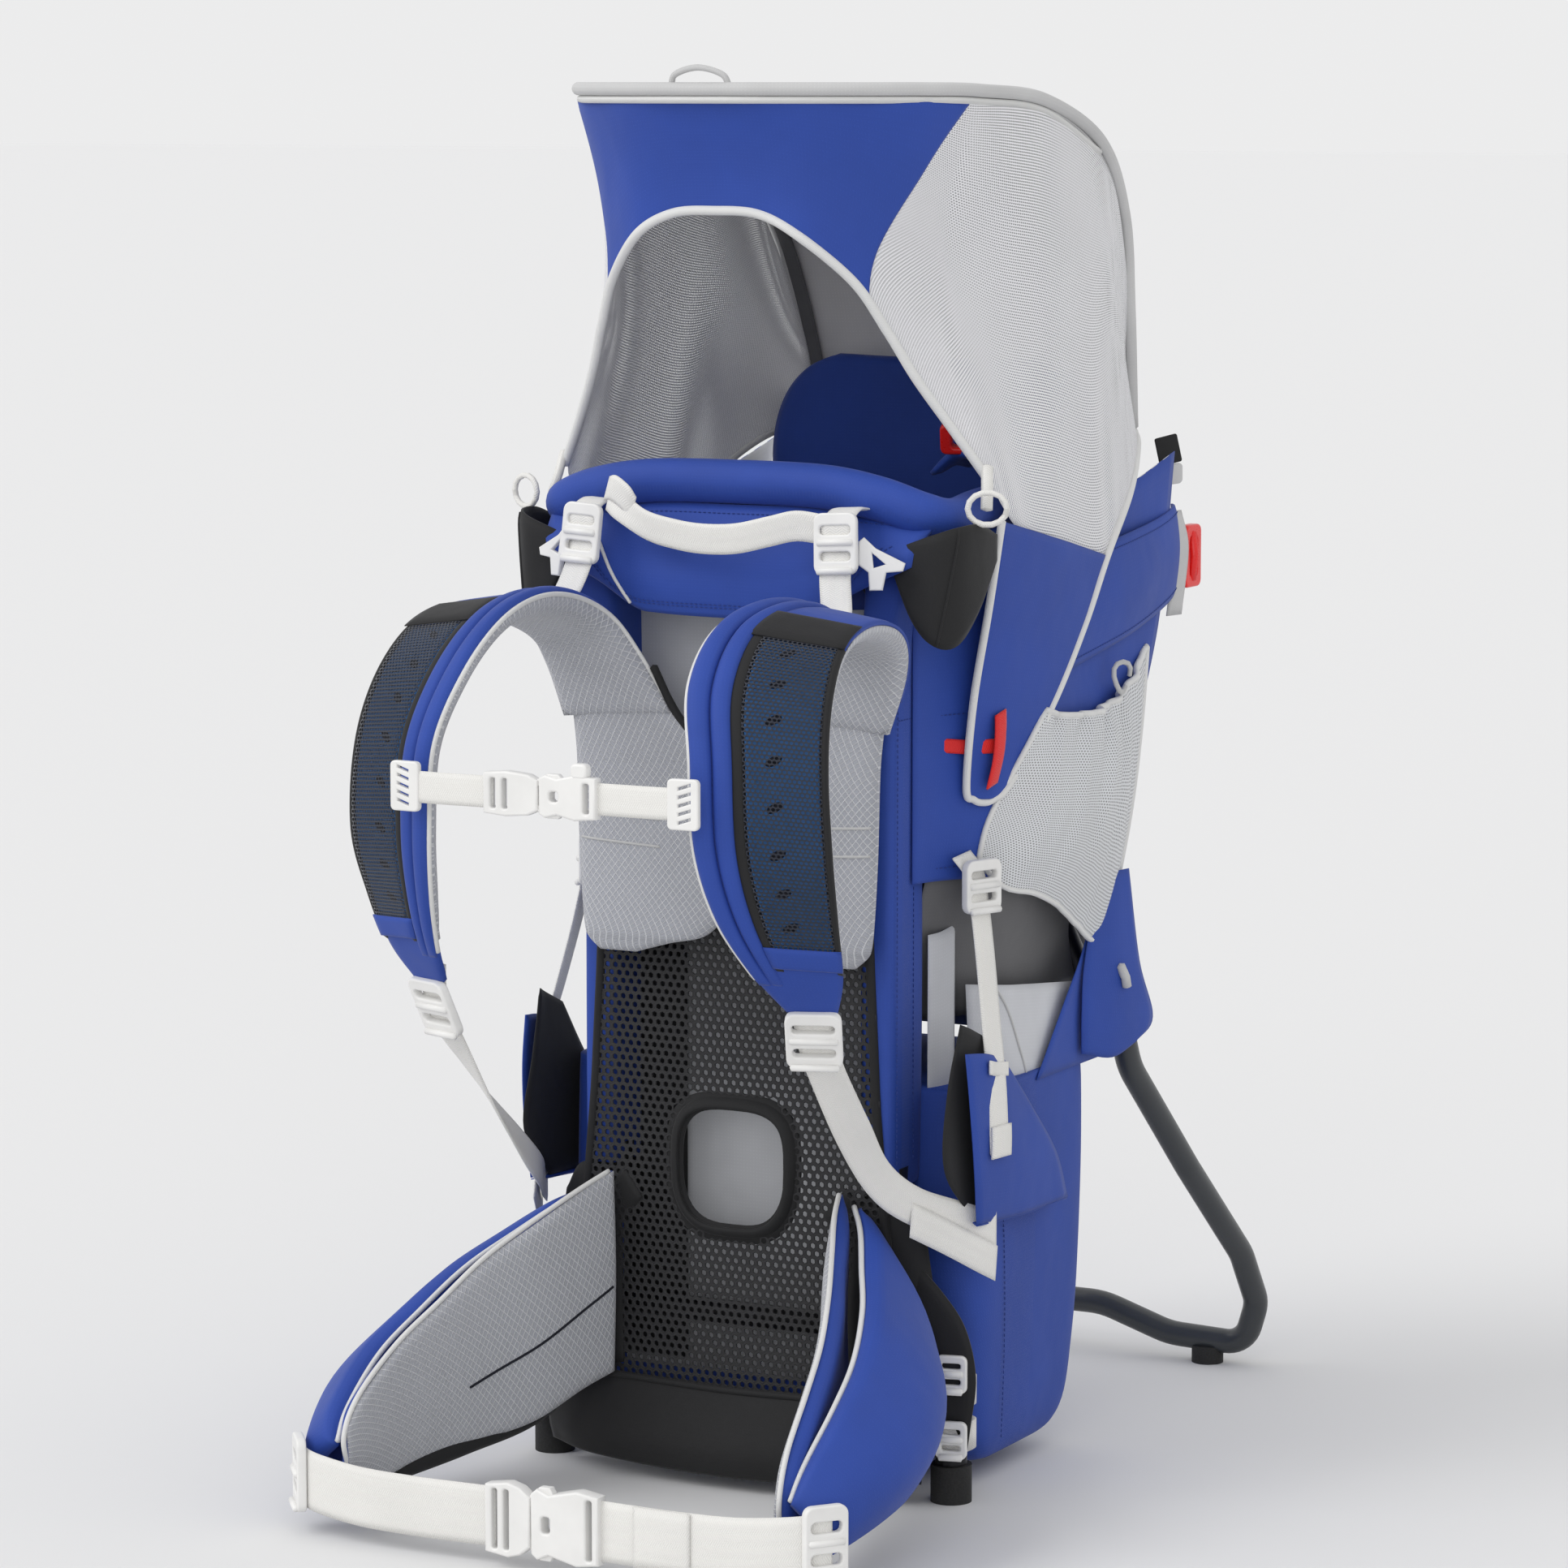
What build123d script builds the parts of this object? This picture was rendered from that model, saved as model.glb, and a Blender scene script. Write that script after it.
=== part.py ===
from build123d import *
import os

# Framed child carrier. X runs across the pack, Y from the wearer's side to the rear, Z up.
# The model is laid out with the frame's feet on Y = 0; DEPTH_SHIFT then centres its depth on the origin.

# Driving dimensions, millimetres
FRONT_REACH = 266.0
REAR_REACH = 433.0
DEPTH_SHIFT = (FRONT_REACH - REAR_REACH) / 2

FRAME_TUBE_R = 10.0
ARM_TUBE_R = 7.0
STAND_TUBE_R = 8.5
UPRIGHT_X = 98.0
FOOT_X = 143.0
UPRIGHT_Y = -2.0
BOW_START_Z = 535.0
BOW_TOP_Z = 590.0
SLEEVE_W = 26.0
SLEEVE_D = 30.0
SLEEVE_BOTTOM_Z = 210.0
PRESS_GAP = 0.3

WALL_IN_X = 142.0
WALL_OUT_X = 150.0
WING_START_Y = 16.0
WING_END_Y = 88.0
NET_Y = -20.0
NET_T = 4.0
WINDOW_Z = 204.0
WINDOW_OUTER = 92.0
WINDOW_INNER = 78.0

PIVOT_Y = 235.0
PIVOT_Z = 290.0
PIN_R = 4.0
PIN_CLEARANCE = 0.05
EYE_IN_X = 144.0
EYE_OUT_X = 154.0
EYE_R = 14.0

WEBBING_T = 2.0
STERNUM_W = 20.0
LIFTER_W = 25.0
HIP_WEBBING_W = 38.0
HIP_WEBBING_Z = 30.0

HOOP_R = 4.5
CLOTH_T = 2.5


# Helpers

def save(name, *solids):
    """Write one node, moved so that the whole model's depth is centred on the origin."""
    placed = [Pos(0, DEPTH_SHIFT, 0) * solid for solid in solids]
    shape = placed[0] if len(placed) == 1 else Compound(placed)
    export_step(shape, "parts/" + name + ".step")


def mirrored(solid):
    """The same piece on the other side of the pack."""
    return mirror(solid, about=Plane.YZ)


def pair(name, solid):
    """Write a piece and its mirror image as two solids of one node."""
    save(name, solid, mirrored(solid))


def box(x0, x1, y0, y1, z0, z1):
    """A box from its low and high faces."""
    centre = Pos((x0 + x1) / 2, (y0 + y1) / 2, (z0 + z1) / 2)
    return centre * Box(x1 - x0, y1 - y0, z1 - z0)


def tube(points, corner_radii, radius):
    """A round bar along straight runs joined by tangent arcs."""
    path = FilletPolyline(*points, radius=corner_radii)
    start = Plane(origin=path @ 0, z_dir=path % 0)
    return sweep(start * Circle(radius), path=path)


def side_plate(outline, x0, x1):
    """A plate in a plane of constant X, from an outline of (Y, Z) points."""
    face = make_face(Polyline(*[(x0, y, z) for y, z in outline], close=True))
    return extrude(face, amount=x1 - x0, dir=(1, 0, 0))


def front_plate(outline, y0, y1):
    """A plate in a plane of constant Y, from an outline of (X, Z) points."""
    face = make_face(Polyline(*[(x, y0, z) for x, z in outline], close=True))
    return extrude(face, amount=y1 - y0, dir=(0, 1, 0))


def skin(stations):
    """A ruled solid through stations of (edge point, edge point, thickness vector)."""
    wires = []
    for edge_a, edge_b, depth in stations:
        a = Vector(*edge_a)
        b = Vector(*edge_b)
        t = Vector(*depth)
        wires.append(Wire.make_polygon([a, b, b + t, a + t], close=True))
    return Solid.make_loft(wires, ruled=True)


def ribbon(points, across, width, thick):
    """Flat webbing along points, as wide as width along the across vector."""
    side = Vector(*across).normalized() * (width / 2)
    places = [Vector(*point) for point in points]
    last = len(places) - 1
    stations = []
    for i, place in enumerate(places):
        run = places[min(i + 1, last)] - places[max(i - 1, 0)]
        normal = run.cross(side).normalized() * thick
        stations.append((place - side, place + side, normal))
    return skin(stations)


def ladder_lock(width, height, depth):
    """A ladder lock buckle: a frame with two webbing slots, its face towards -Y."""
    body = Box(width, depth, height)
    slot_h = height * 0.17
    for z in (height * 0.24, -height * 0.24):
        body -= Pos(0, 0, z) * Box(width - 8, depth * 2, slot_h)
    return body


# Frame and stand

def frame_upright():
    points = [
        (FOOT_X, 0, 8),
        (FOOT_X, 0, 95),
        (UPRIGHT_X, UPRIGHT_Y, 164),
        (UPRIGHT_X, UPRIGHT_Y, BOW_START_Z),
    ]
    return tube(points, 60, FRAME_TUBE_R)


def frame_top_bow():
    half = [
        (UPRIGHT_X, UPRIGHT_Y, BOW_START_Z),
        (UPRIGHT_X, UPRIGHT_Y, BOW_TOP_Z),
    ]
    other = [(-x, y, z) for x, y, z in reversed(half)]
    return tube(half + other, 36, FRAME_TUBE_R)


def frame_cross_tube():
    return Pos(0, 0, 104) * Rot(0, 90, 0) * Cylinder(8, 2 * FOOT_X - 16)


def frame_foot():
    foot = Pos(FOOT_X, 0, 12) * Cylinder(FRAME_TUBE_R + 3, 24)
    return foot - Pos(FOOT_X, 0, 20) * Cylinder(FRAME_TUBE_R, 24)


def cargo_stud():
    return Pos(95, 130, 7) * Cylinder(14, 9.8)


def side_arm():
    points = [
        (UPRIGHT_X + 4, 4, 442),
        (128, 180, 357),
        (128, PIVOT_Y, PIVOT_Z + 4),
    ]
    return tube(points, 60, ARM_TUBE_R)


def pivot_bracket():
    at_pivot = Pos(137.5, PIVOT_Y, PIVOT_Z) * Rot(0, 90, 0)
    return at_pivot * Cylinder(15, 5) - at_pivot * Cylinder(PIN_R, 20)


def pivot_pin():
    shank = Pos(146.5, PIVOT_Y, PIVOT_Z) * Rot(0, 90, 0) * Cylinder(PIN_R, 23)
    head = Pos(159, PIVOT_Y, PIVOT_Z) * Rot(0, 90, 0) * Cylinder(7, 2)
    return shank + head


def kickstand():
    half = [
        (149, PIVOT_Y + 2, PIVOT_Z - 10),
        (150, 256, 236),
        (164, 322, 158),
        (175, 392, 86),
        (175, 421, 46),
        (165, 424, 15),
        (110, 420, 18),
        (60, 418, 35),
    ]
    other = [(-x, y, z) for x, y, z in reversed(half)]
    radii = [60, 90, 60, 25, 18, 60, 60, 60, 60, 18, 25, 60, 90, 60]
    bar = tube(half + other, radii, STAND_TUBE_R)
    bore = Cylinder(PIN_R + PIN_CLEARANCE, 40)
    for side in (1, -1):
        middle = side * (EYE_IN_X + EYE_OUT_X) / 2
        at_pivot = Pos(middle, PIVOT_Y, PIVOT_Z) * Rot(0, 90, 0)
        bar += at_pivot * Cylinder(EYE_R, EYE_OUT_X - EYE_IN_X)
        bar -= at_pivot * bore
    return bar


def kickstand_foot():
    foot = Pos(138, 422, 6) * Cylinder(11, 12)
    clear = [(165, 424, 15), (110, 420, 18)]
    return foot - tube_straight(clear[0], clear[1], STAND_TUBE_R)


def tube_straight(start, end, radius):
    """A straight round bar between two points."""
    run = Line(start, end)
    return sweep(Plane(origin=run @ 0, z_dir=run % 0) * Circle(radius), path=run)


def frame_sleeve():
    body = Pos(UPRIGHT_X, UPRIGHT_Y, 0) * extrude(RectangleRounded(SLEEVE_W, SLEEVE_D, 11), 540)
    body -= box(0, 300, -60, 60, -1, SLEEVE_BOTTOM_Z)
    return body - Pos(UPRIGHT_X, UPRIGHT_Y, 300) * Cylinder(FRAME_TUBE_R + PRESS_GAP, 700)


def sleeve_end_cap():
    top = Plane(origin=(UPRIGHT_X, UPRIGHT_Y, SLEEVE_BOTTOM_Z)) * RectangleRounded(SLEEVE_W, 28, 11)
    low = Plane(origin=(UPRIGHT_X, UPRIGHT_Y, 184)) * RectangleRounded(24, 25, 10)
    body = loft([low, top])
    return body - Pos(UPRIGHT_X, UPRIGHT_Y, 200) * Cylinder(FRAME_TUBE_R + PRESS_GAP, 100)


def frame_wrap(z):
    ring = Pos(FOOT_X, 0, z) * extrude(RectangleRounded(28, 28, 10), 20)
    return ring - Pos(FOOT_X, 0, z) * Cylinder(FRAME_TUBE_R + PRESS_GAP, 80)


# Back panel and base

def back_net():
    outline = [
        (-131, 52), (131, 52), (119, 90), (108, 180), (94, 330), (94, 420),
        (-94, 420), (-94, 330), (-108, 180), (-119, 90),
    ]
    net = front_plate(outline, NET_Y - NET_T, NET_Y)
    hole = Plane.XZ.offset(100) * Pos(0, WINDOW_Z) * RectangleRounded(WINDOW_OUTER, WINDOW_OUTER, 38)
    return net - extrude(hole, amount=-200)


def net_window_ring():
    face_plane = Plane.XZ.offset(-(NET_Y + 1))
    outer = face_plane * Pos(0, WINDOW_Z) * RectangleRounded(WINDOW_OUTER, WINDOW_OUTER, 38)
    inner = face_plane * Pos(0, WINDOW_Z) * RectangleRounded(WINDOW_INNER, WINDOW_INNER, 31)
    return extrude(outer, amount=NET_T + 2) - extrude(inner, amount=NET_T + 2)


def base_band():
    outline = [(-133, 12), (133, 12), (131, 51), (60, 64), (-60, 64), (-131, 51)]
    band = front_plate(outline, -34, -15)
    return band - back_net_cutter()


def back_net_cutter():
    """The slot that the net's hem sits in."""
    return box(-140, 140, NET_Y - NET_T, NET_Y, 51.9, 80)


def front_liner():
    return box(-88, 88, 16, 20, 60, 575)


def leg_lining():
    outline = [(22, 258), (188, 258), (186, 300), (150, 352), (60, 376), (22, 376)]
    hole = [(32, 266), (160, 266), (158, 300), (138, 334), (60, 346), (32, 346)]
    ring = side_plate(outline, 137, 141.5) - side_plate(hole, 100, 160)
    return ring - box(130, 150, 0, WING_END_Y + 2, 200, 400)


# Cockpit

def collar_roll():
    half = [(139, 165, 634), (141, 18, 621), (96, 2, 633)]
    other = [(-x, y, z) for x, y, z in reversed(half)]
    return tube(half + other, [24, 60, 60, 24], 17)


def collar_front_panel():
    stations = []
    for x, low, high in ((-128, 590, 610), (-60, 558, 618), (60, 558, 618), (128, 590, 610)):
        stations.append(((x, -30, low), (x, -22, high), (0, 7, 0)))
    return skin(stations)


def corner_patch():
    front = front_plate([(120, 542), (140, 541), (154, 560), (154, 612), (131, 606)], -26, -20)
    side = side_plate([(-26, 545), (0, 541), (30, 575), (30, 606), (-26, 612)], 150.5, 154)
    return front + side


def wall_wing():
    """The slanting front of the side wall, from the sleeve out to the wall, with a strip beside the leg."""
    inner, outer = UPRIGHT_X + 14, WALL_IN_X + 4
    stations = [
        ((inner, WING_START_Y, 353), (inner, WING_START_Y, 598), (4, -3, 0)),
        ((outer, WING_END_Y, 353), (outer, WING_END_Y, 606), (4, -3, 0)),
    ]
    strip = box(inner - 0.5, inner + 3, WING_START_Y - 3, 32, 257, 360)
    return skin(stations) + strip


def side_wall():
    outline = [
        (18, 257), (18, 601), (150, 612), (210, 618), (322, 640), (324, 600), (301, 535),
        (264, 460), (240, 371), (236, 335), (205, 320), (196, 262), (165, 257),
    ]
    hole = [(32, 266), (170, 266), (168, 300), (146, 340), (60, 352), (32, 352)]
    plate = side_plate(outline, WALL_IN_X, WALL_OUT_X) - side_plate(hole, 100, 200)
    return plate - box(130, 160, 0, WING_END_Y - 3, 200, 700) + wall_wing()


def rear_panel():
    wide = WALL_IN_X - 0.5
    narrow = 118
    line = [
        (208, 262, narrow), (228, 345, narrow), (235, 384, narrow), (240, 404, wide),
        (255, 460, wide), (292, 535, wide), (315, 600, wide), (313, 640, wide),
    ]
    stations = [((-half, y, z), (half, y, z), (0, 7, 0)) for y, z, half in line]
    return skin(stations)


def headrest():
    outline = [
        (-118, 566), (118, 566), (124, 640), (112, 684), (84, 704),
        (-84, 704), (-112, 684), (-124, 640),
    ]
    return front_plate(outline, 262, 284)


def side_wrap():
    outline = [(118, 506), (296, 536), (352, 541), (352, 604), (250, 594), (118, 580)]
    return side_plate(outline, WALL_OUT_X + 0.5, WALL_OUT_X + 8)


def rear_buckle():
    body = box(143, 158, 353, 378, 545, 588)
    return body - box(140, 160, 359, 366, 552, 581)


def mesh_pocket():
    outline = [
        (112, 488), (277, 518), (266, 460), (242, 374), (176, 332), (110, 350), (45, 386),
        (30, 408), (62, 440),
    ]
    inside = [
        (116, 600), (272, 600), (262, 460), (238, 378), (176, 338), (110, 356), (50, 390),
        (38, 409), (67, 440), (116, 486),
    ]
    skin_x = WALL_OUT_X + 20
    shell = side_plate(outline, WALL_OUT_X + 0.5, skin_x)
    shell -= side_plate(inside, WALL_OUT_X - 5, skin_x - 3)
    return shell - box(140, 180, 0, 60, 300, 600)


def cargo_compartment():
    outline = [(22, 34), (46, 12), (150, 12), (183, 34), (200, 95), (206, 180), (204, 255), (22, 255)]
    inside = [(28, 40), (50, 19), (146, 19), (177, 39), (194, 96), (200, 180), (198, 300), (28, 300)]
    return side_plate(outline, -148, 148) - side_plate(inside, -142, 142)


def pivot_tab():
    plate = side_plate([(226, 352), (252, 352), (282, 270), (222, 249), (216, 318)], 161.5, 164.5)
    root = side_plate([(226, 352), (240, 352), (238, 339), (222, 330)], 151, 164.5)
    return plate + root


# Stirrups

def stirrup_webbing():
    points = [(136, 43, 396), (140, 44, 350), (150, 46, 304), (168, 52, 294), (171, 58, 222)]
    return ribbon(points, (0, 1, 0), 22, WEBBING_T)


def stirrup_lock():
    return Pos(146, 44, 384) * Rot(0, 0, 90) * ladder_lock(32, 30, 6)


def stirrup_band():
    outline = [(10, 292), (36, 292), (150, 168), (37, 164)]
    outer = side_plate(outline, 165.5, 168.5)
    inner = side_plate(outline, 152.5, 155.5)
    bottom = side_plate([(150, 168), (37, 164), (36, 168), (146, 172)], 152.5, 168.5)
    top = side_plate([(10, 292), (36, 292), (40, 288), (11, 288)], 152.5, 168.5)
    return outer + inner + bottom + top


def red_loop():
    return box(155.5, 157.5, 2, 42, 466, 478)


def red_pull():
    return box(162.5, 164.5, 24, 38, 444, 490)


# Hip belt

HIP_LINE = [
    # X, Y of the pad's inner face, then its top and bottom Z and the shell's depth
    (84, -44, 192, 72, 20),
    (108, -95, 168, 44, 44),
    (130, -150, 134, 38, 52),
    (142, -200, 104, 32, 38),
    (147, -240, 80, 24, 8),
]
PAD_T = 14.0


def hip_normals():
    """Outward unit vectors along the hip belt's inner line."""
    places = [Vector(x, y, 0) for x, y, *rest in HIP_LINE]
    last = len(places) - 1
    normals = []
    for i in range(len(places)):
        run = places[min(i + 1, last)] - places[max(i - 1, 0)]
        normals.append(run.cross(Vector(0, 0, -1)).normalized())
    return normals


def hip_pad():
    stations = []
    for (x, y, top, low, depth), normal in zip(HIP_LINE, hip_normals()):
        shift = normal * PAD_T
        stations.append(((x, y, low), (x, y, top), (shift.X, shift.Y, shift.Z)))
    return skin(stations)


def hip_shell():
    stations = []
    for (x, y, top, low, depth), normal in zip(HIP_LINE, hip_normals()):
        start = Vector(x, y, 0) + normal * (PAD_T + PRESS_GAP)
        shift = normal * depth
        low_edge = (start.X, start.Y, low - 4)
        top_edge = (start.X, start.Y, top - 14)
        stations.append((low_edge, top_edge, (shift.X, shift.Y, shift.Z)))
    return skin(stations)


def hip_webbing():
    points = [
        (176, -244, HIP_WEBBING_Z + 6),
        (150, -257, HIP_WEBBING_Z + 3),
        (100, -262, HIP_WEBBING_Z),
        (39, -262, HIP_WEBBING_Z),
    ]
    return ribbon(points, (0, 0, 1), HIP_WEBBING_W, WEBBING_T)


def hip_lock():
    return Pos(184, -242, 37) * Rot(0, 0, 55) * ladder_lock(30, 44, 8)


def hip_buckle_female():
    shell = box(-6, 38, -266, -252, HIP_WEBBING_Z - 22, HIP_WEBBING_Z + 22)
    socket = box(-7, 24, -263, -255, HIP_WEBBING_Z - 17, HIP_WEBBING_Z + 17)
    return shell - socket


def hip_buckle_male():
    grip = box(-38, -7, -266, -252, HIP_WEBBING_Z - 22, HIP_WEBBING_Z + 22)
    prongs = [
        box(-7, 22, -262, -256, HIP_WEBBING_Z + z - 4, HIP_WEBBING_Z + z + 4)
        for z in (-11.5, 0, 11.5)
    ]
    return grip + prongs[0] + prongs[1] + prongs[2]


# Harness

STRAP_STATIONS = [
    # inner edge, outer edge of the strap's outer face
    ((38, -31, 498), (116, -31, 492)),
    ((62, -34, 528), (128, -33, 520)),
    ((74, -48, 550), (134, -46, 541)),
    ((77, -84, 566), (141, -80, 555)),
    ((74, -134, 570), (146, -124, 558)),
    ((71, -184, 558), (151, -164, 546)),
    ((76, -222, 530), (157, -192, 520)),
    ((87, -240, 494), (162, -206, 486)),
    ((90, -240, 440), (165, -206, 432)),
    ((97, -226, 398), (163, -192, 392)),
    ((106, -202, 362), (157, -176, 357)),
    ((112, -178, 338), (149, -160, 334)),
]
STRAP_T = 14.0


def yoke_pad():
    outline = [
        (-72, 346), (-30, 352), (30, 352), (72, 346), (84, 362), (97, 410), (116, 488),
        (38, 494), (8, 462), (-8, 462), (-38, 494), (-116, 488), (-97, 410), (-84, 362),
    ]
    return front_plate(outline, -38, -29)


def shoulder_strap():
    places = [((Vector(*a) + Vector(*b)) * 0.5, Vector(*b) - Vector(*a)) for a, b in STRAP_STATIONS]
    last = len(places) - 1
    stations = []
    for i, (a, b) in enumerate(STRAP_STATIONS):
        run = places[min(i + 1, last)][0] - places[max(i - 1, 0)][0]
        inward = places[i][1].cross(run).normalized() * STRAP_T
        stations.append((a, b, (inward.X, inward.Y, inward.Z)))
    return skin(stations)


def strap_adjuster():
    return Pos(130, -163, 318) * Rot(-30, 0, 0) * Rot(0, 0, 22) * ladder_lock(36, 34, 7)


def strap_webbing():
    points = [
        (131, -150, 296),
        (127, -108, 250),
        (126, -62, 214),
        (132, -32, 196),
        (151, 4, 182),
        (161, 34, 168),
    ]
    return ribbon(points, (0.2, 0.3, 1), LIFTER_W, WEBBING_T)


def lifter_webbing():
    points = [(89, -60, 581), (93, -64, 572), (97, -68, 563)]
    return ribbon(points, (1, 0, 0), LIFTER_W, WEBBING_T)


def lifter_lock():
    return Pos(89, -60, 600) * ladder_lock(34, 36, 7)


def sternum_slider():
    return box(84, 104, -262, -255.5, 454, 482)


def sternum_webbing():
    return box(38, 83.5, -260, -258, 458, 478)


def sternum_webbing_left():
    return box(-83.5, -40, -260, -258, 458, 478)


def sternum_buckle_female():
    shell = box(0, 37.5, -264, -254, 455, 481)
    return shell - box(-1, 24, -261.5, -256.5, 458.5, 477.5)


def sternum_buckle_male():
    grip = box(-39.5, -0.5, -264, -254, 455, 481)
    prongs = box(-0.5, 22, -260.5, -257.5, 461, 475)
    return grip + prongs


def grab_handle():
    points = [(-70, -52, 626), (-40, -55, 611), (0, -57, 605), (40, -55, 611), (70, -52, 626)]
    return ribbon(points, (0, 0, 1), 20, WEBBING_T)


# Child seat

def seat_saddle():
    saddle = box(-80, 80, 70, 205, 305, 325)
    back = box(-80, 80, 190, 205, 325, 540)
    return saddle + back


def child_harness():
    straps = []
    for x in (-42, 42):
        straps.append(box(x - 12, x + 12, 186, 189.5, 340, 530))
    cross = box(-54, 54, 182, 185.5, 440, 460)
    return straps, cross


# Canopy

def canopy_hoop():
    half = [
        (116, 330, 652),
        (124, 305, 735),
        (132, 278, 796),
        (145, 215, 848),
        (151, 110, 873),
        (148, 10, 880),
        (108, -34, 879),
        (40, -62, 878),
    ]
    other = [(-x, y, z) for x, y, z in reversed(half)]
    radii = [60, 60, 90, 90, 30, 60, 90, 90, 60, 30, 90, 90, 60, 60]
    return tube(half + other, radii, HOOP_R)


def canopy_roof():
    line = [
        (-58, 872, 44), (-32, 873, 104), (8, 873, 142), (110, 866, 145), (212, 841, 139),
        (273, 791, 126), (299, 732, 118), (322, 655, 110),
    ]
    stations = [((-half, y, z), (half, y, z), (0, 0, -CLOTH_T)) for y, z, half in line]
    stations[-1] = ((-110, 322, 655), (110, 322, 655), (0, -CLOTH_T, 0))
    stations[-2] = ((-118, 299, 732), (118, 299, 732), (0, -CLOTH_T, 0))
    return skin(stations)


def canopy_side():
    line = [
        # bottom X, Y and Z, then top X, Y and Z
        (158.5, 31, 636, 146, 10, 866),
        (159, 60, 607, 148.5, 52, 867),
        (159, 110, 594, 148.5, 110, 860),
        (159, 190, 581, 143, 190, 846),
        (158.5, 215, 606, 139.5, 215, 833),
        (148, 262, 634, 130.5, 262, 794),
        (127, 296, 648, 122.5, 296, 733),
    ]
    stations = [((bx, by, bz), (tx, ty, tz), (CLOTH_T, 0, 0)) for bx, by, bz, tx, ty, tz in line]
    return skin(stations)


def canopy_visor():
    half = [
        # X, Y and Z of the arch edge, Y and Z of the top edge
        (157, 30, 640, 8, 868),
        (144, 12, 690, -6, 868),
        (118, -12, 740, -26, 868),
        (82, -30, 780, -46, 868),
        (40, -41, 800, -58, 868),
        (0, -44, 805, -62, 868),
    ]
    full = half + [(-x, ay, az, ty, tz) for x, ay, az, ty, tz in reversed(half[:-1])]
    stations = []
    for x, arch_y, arch_z, top_y, top_z in full:
        top_x = max(-143, min(143, x))
        stations.append(((x, arch_y, arch_z), (top_x, top_y, top_z), (0, -CLOTH_T, 0)))
    return skin(stations)


def canopy_tail():
    outline = [(36, 624), (60, 605), (110, 593), (190, 579), (46, 441), (34, 436), (18, 440), (12, 450), (12, 612)]
    return side_plate(outline, 159, 161.5)


def corner_loop():
    return Pos(166, 0, 627) * Rot(90, 0, 0) * Torus(11, 1.8)


def top_loop():
    points = [(-15, -65, 885), (-11, -65, 892), (11, -65, 892), (15, -65, 885)]
    return tube(points, 5, 1.8)


def main():
    os.makedirs("parts", exist_ok=True)
    save("frame_upright_right", frame_upright())
    save("frame_upright_left", mirrored(frame_upright()))
    save("frame_top_bow", frame_top_bow())
    save("frame_cross_tube", frame_cross_tube())
    save("rubber_feet", frame_foot(), mirrored(frame_foot()), cargo_stud(), mirrored(cargo_stud()))
    pair("side_arms", side_arm())
    pair("pivot_brackets", pivot_bracket())
    pair("pivot_pins", pivot_pin())
    save("kickstand", kickstand())
    pair("kickstand_feet", kickstand_foot())
    pair("frame_sleeves", frame_sleeve())
    pair("sleeve_end_caps", sleeve_end_cap())
    wraps = [frame_wrap(z) for z in (34, 62)]
    save("frame_wraps", *wraps, *[mirrored(wrap) for wrap in wraps])
    save("back_net", back_net())
    save("net_window_ring", net_window_ring())
    save("base_band", base_band())
    save("seat_lining", front_liner(), leg_lining(), mirrored(leg_lining()))
    save("collar_roll", collar_roll())
    save("collar_front_panel", collar_front_panel())
    pair("corner_patches", corner_patch())
    save("side_wall_right", side_wall())
    save("side_wall_left", mirrored(side_wall()))
    save("rear_panel", rear_panel())
    save("headrest", headrest())
    pair("side_wraps", side_wrap())
    pair("rear_buckles", rear_buckle())
    pair("mesh_pockets", mesh_pocket())
    save("cargo_compartment", cargo_compartment())
    pair("pivot_tabs", pivot_tab())
    pair("stirrup_webbing", stirrup_webbing())
    pair("stirrup_locks", stirrup_lock())
    pair("stirrup_bands", stirrup_band())
    red = [red_loop(), red_pull()]
    save("red_loops", *red, *[mirrored(strap) for strap in red])
    pair("hip_pads", hip_pad())
    pair("hip_shells", hip_shell())
    save("hip_webbing_right", hip_webbing())
    save("hip_webbing_left", mirrored(hip_webbing()))
    pair("hip_locks", hip_lock())
    save("hip_buckle_female", hip_buckle_female())
    save("hip_buckle_male", hip_buckle_male())
    save("yoke_pad", yoke_pad())
    save("shoulder_strap_right", shoulder_strap())
    save("shoulder_strap_left", mirrored(shoulder_strap()))
    pair("strap_adjusters", strap_adjuster())
    webbing = [strap_webbing(), lifter_webbing()]
    save("harness_webbing", *webbing, *[mirrored(strip) for strip in webbing])
    pair("lifter_locks", lifter_lock())
    pair("sternum_sliders", sternum_slider())
    save("sternum_webbing_right", sternum_webbing())
    save("sternum_webbing_left", sternum_webbing_left())
    save("sternum_buckle_female", sternum_buckle_female())
    save("sternum_buckle_male", sternum_buckle_male())
    save("grab_handle", grab_handle())
    save("seat_saddle", seat_saddle())
    straps, cross = child_harness()
    save("child_harness", *straps, cross)
    save("canopy_hoop", canopy_hoop())
    save("canopy_roof", canopy_roof())
    pair("canopy_sides", canopy_side())
    save("canopy_visor", canopy_visor())
    pair("canopy_tails", canopy_tail())
    save("canopy_loops", corner_loop(), mirrored(corner_loop()), top_loop())


main()
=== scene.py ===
"""Framed child carrier: cloth, webbing, buckles and finishes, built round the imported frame."""

import bpy
import math
from mathutils import Matrix, Vector


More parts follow.
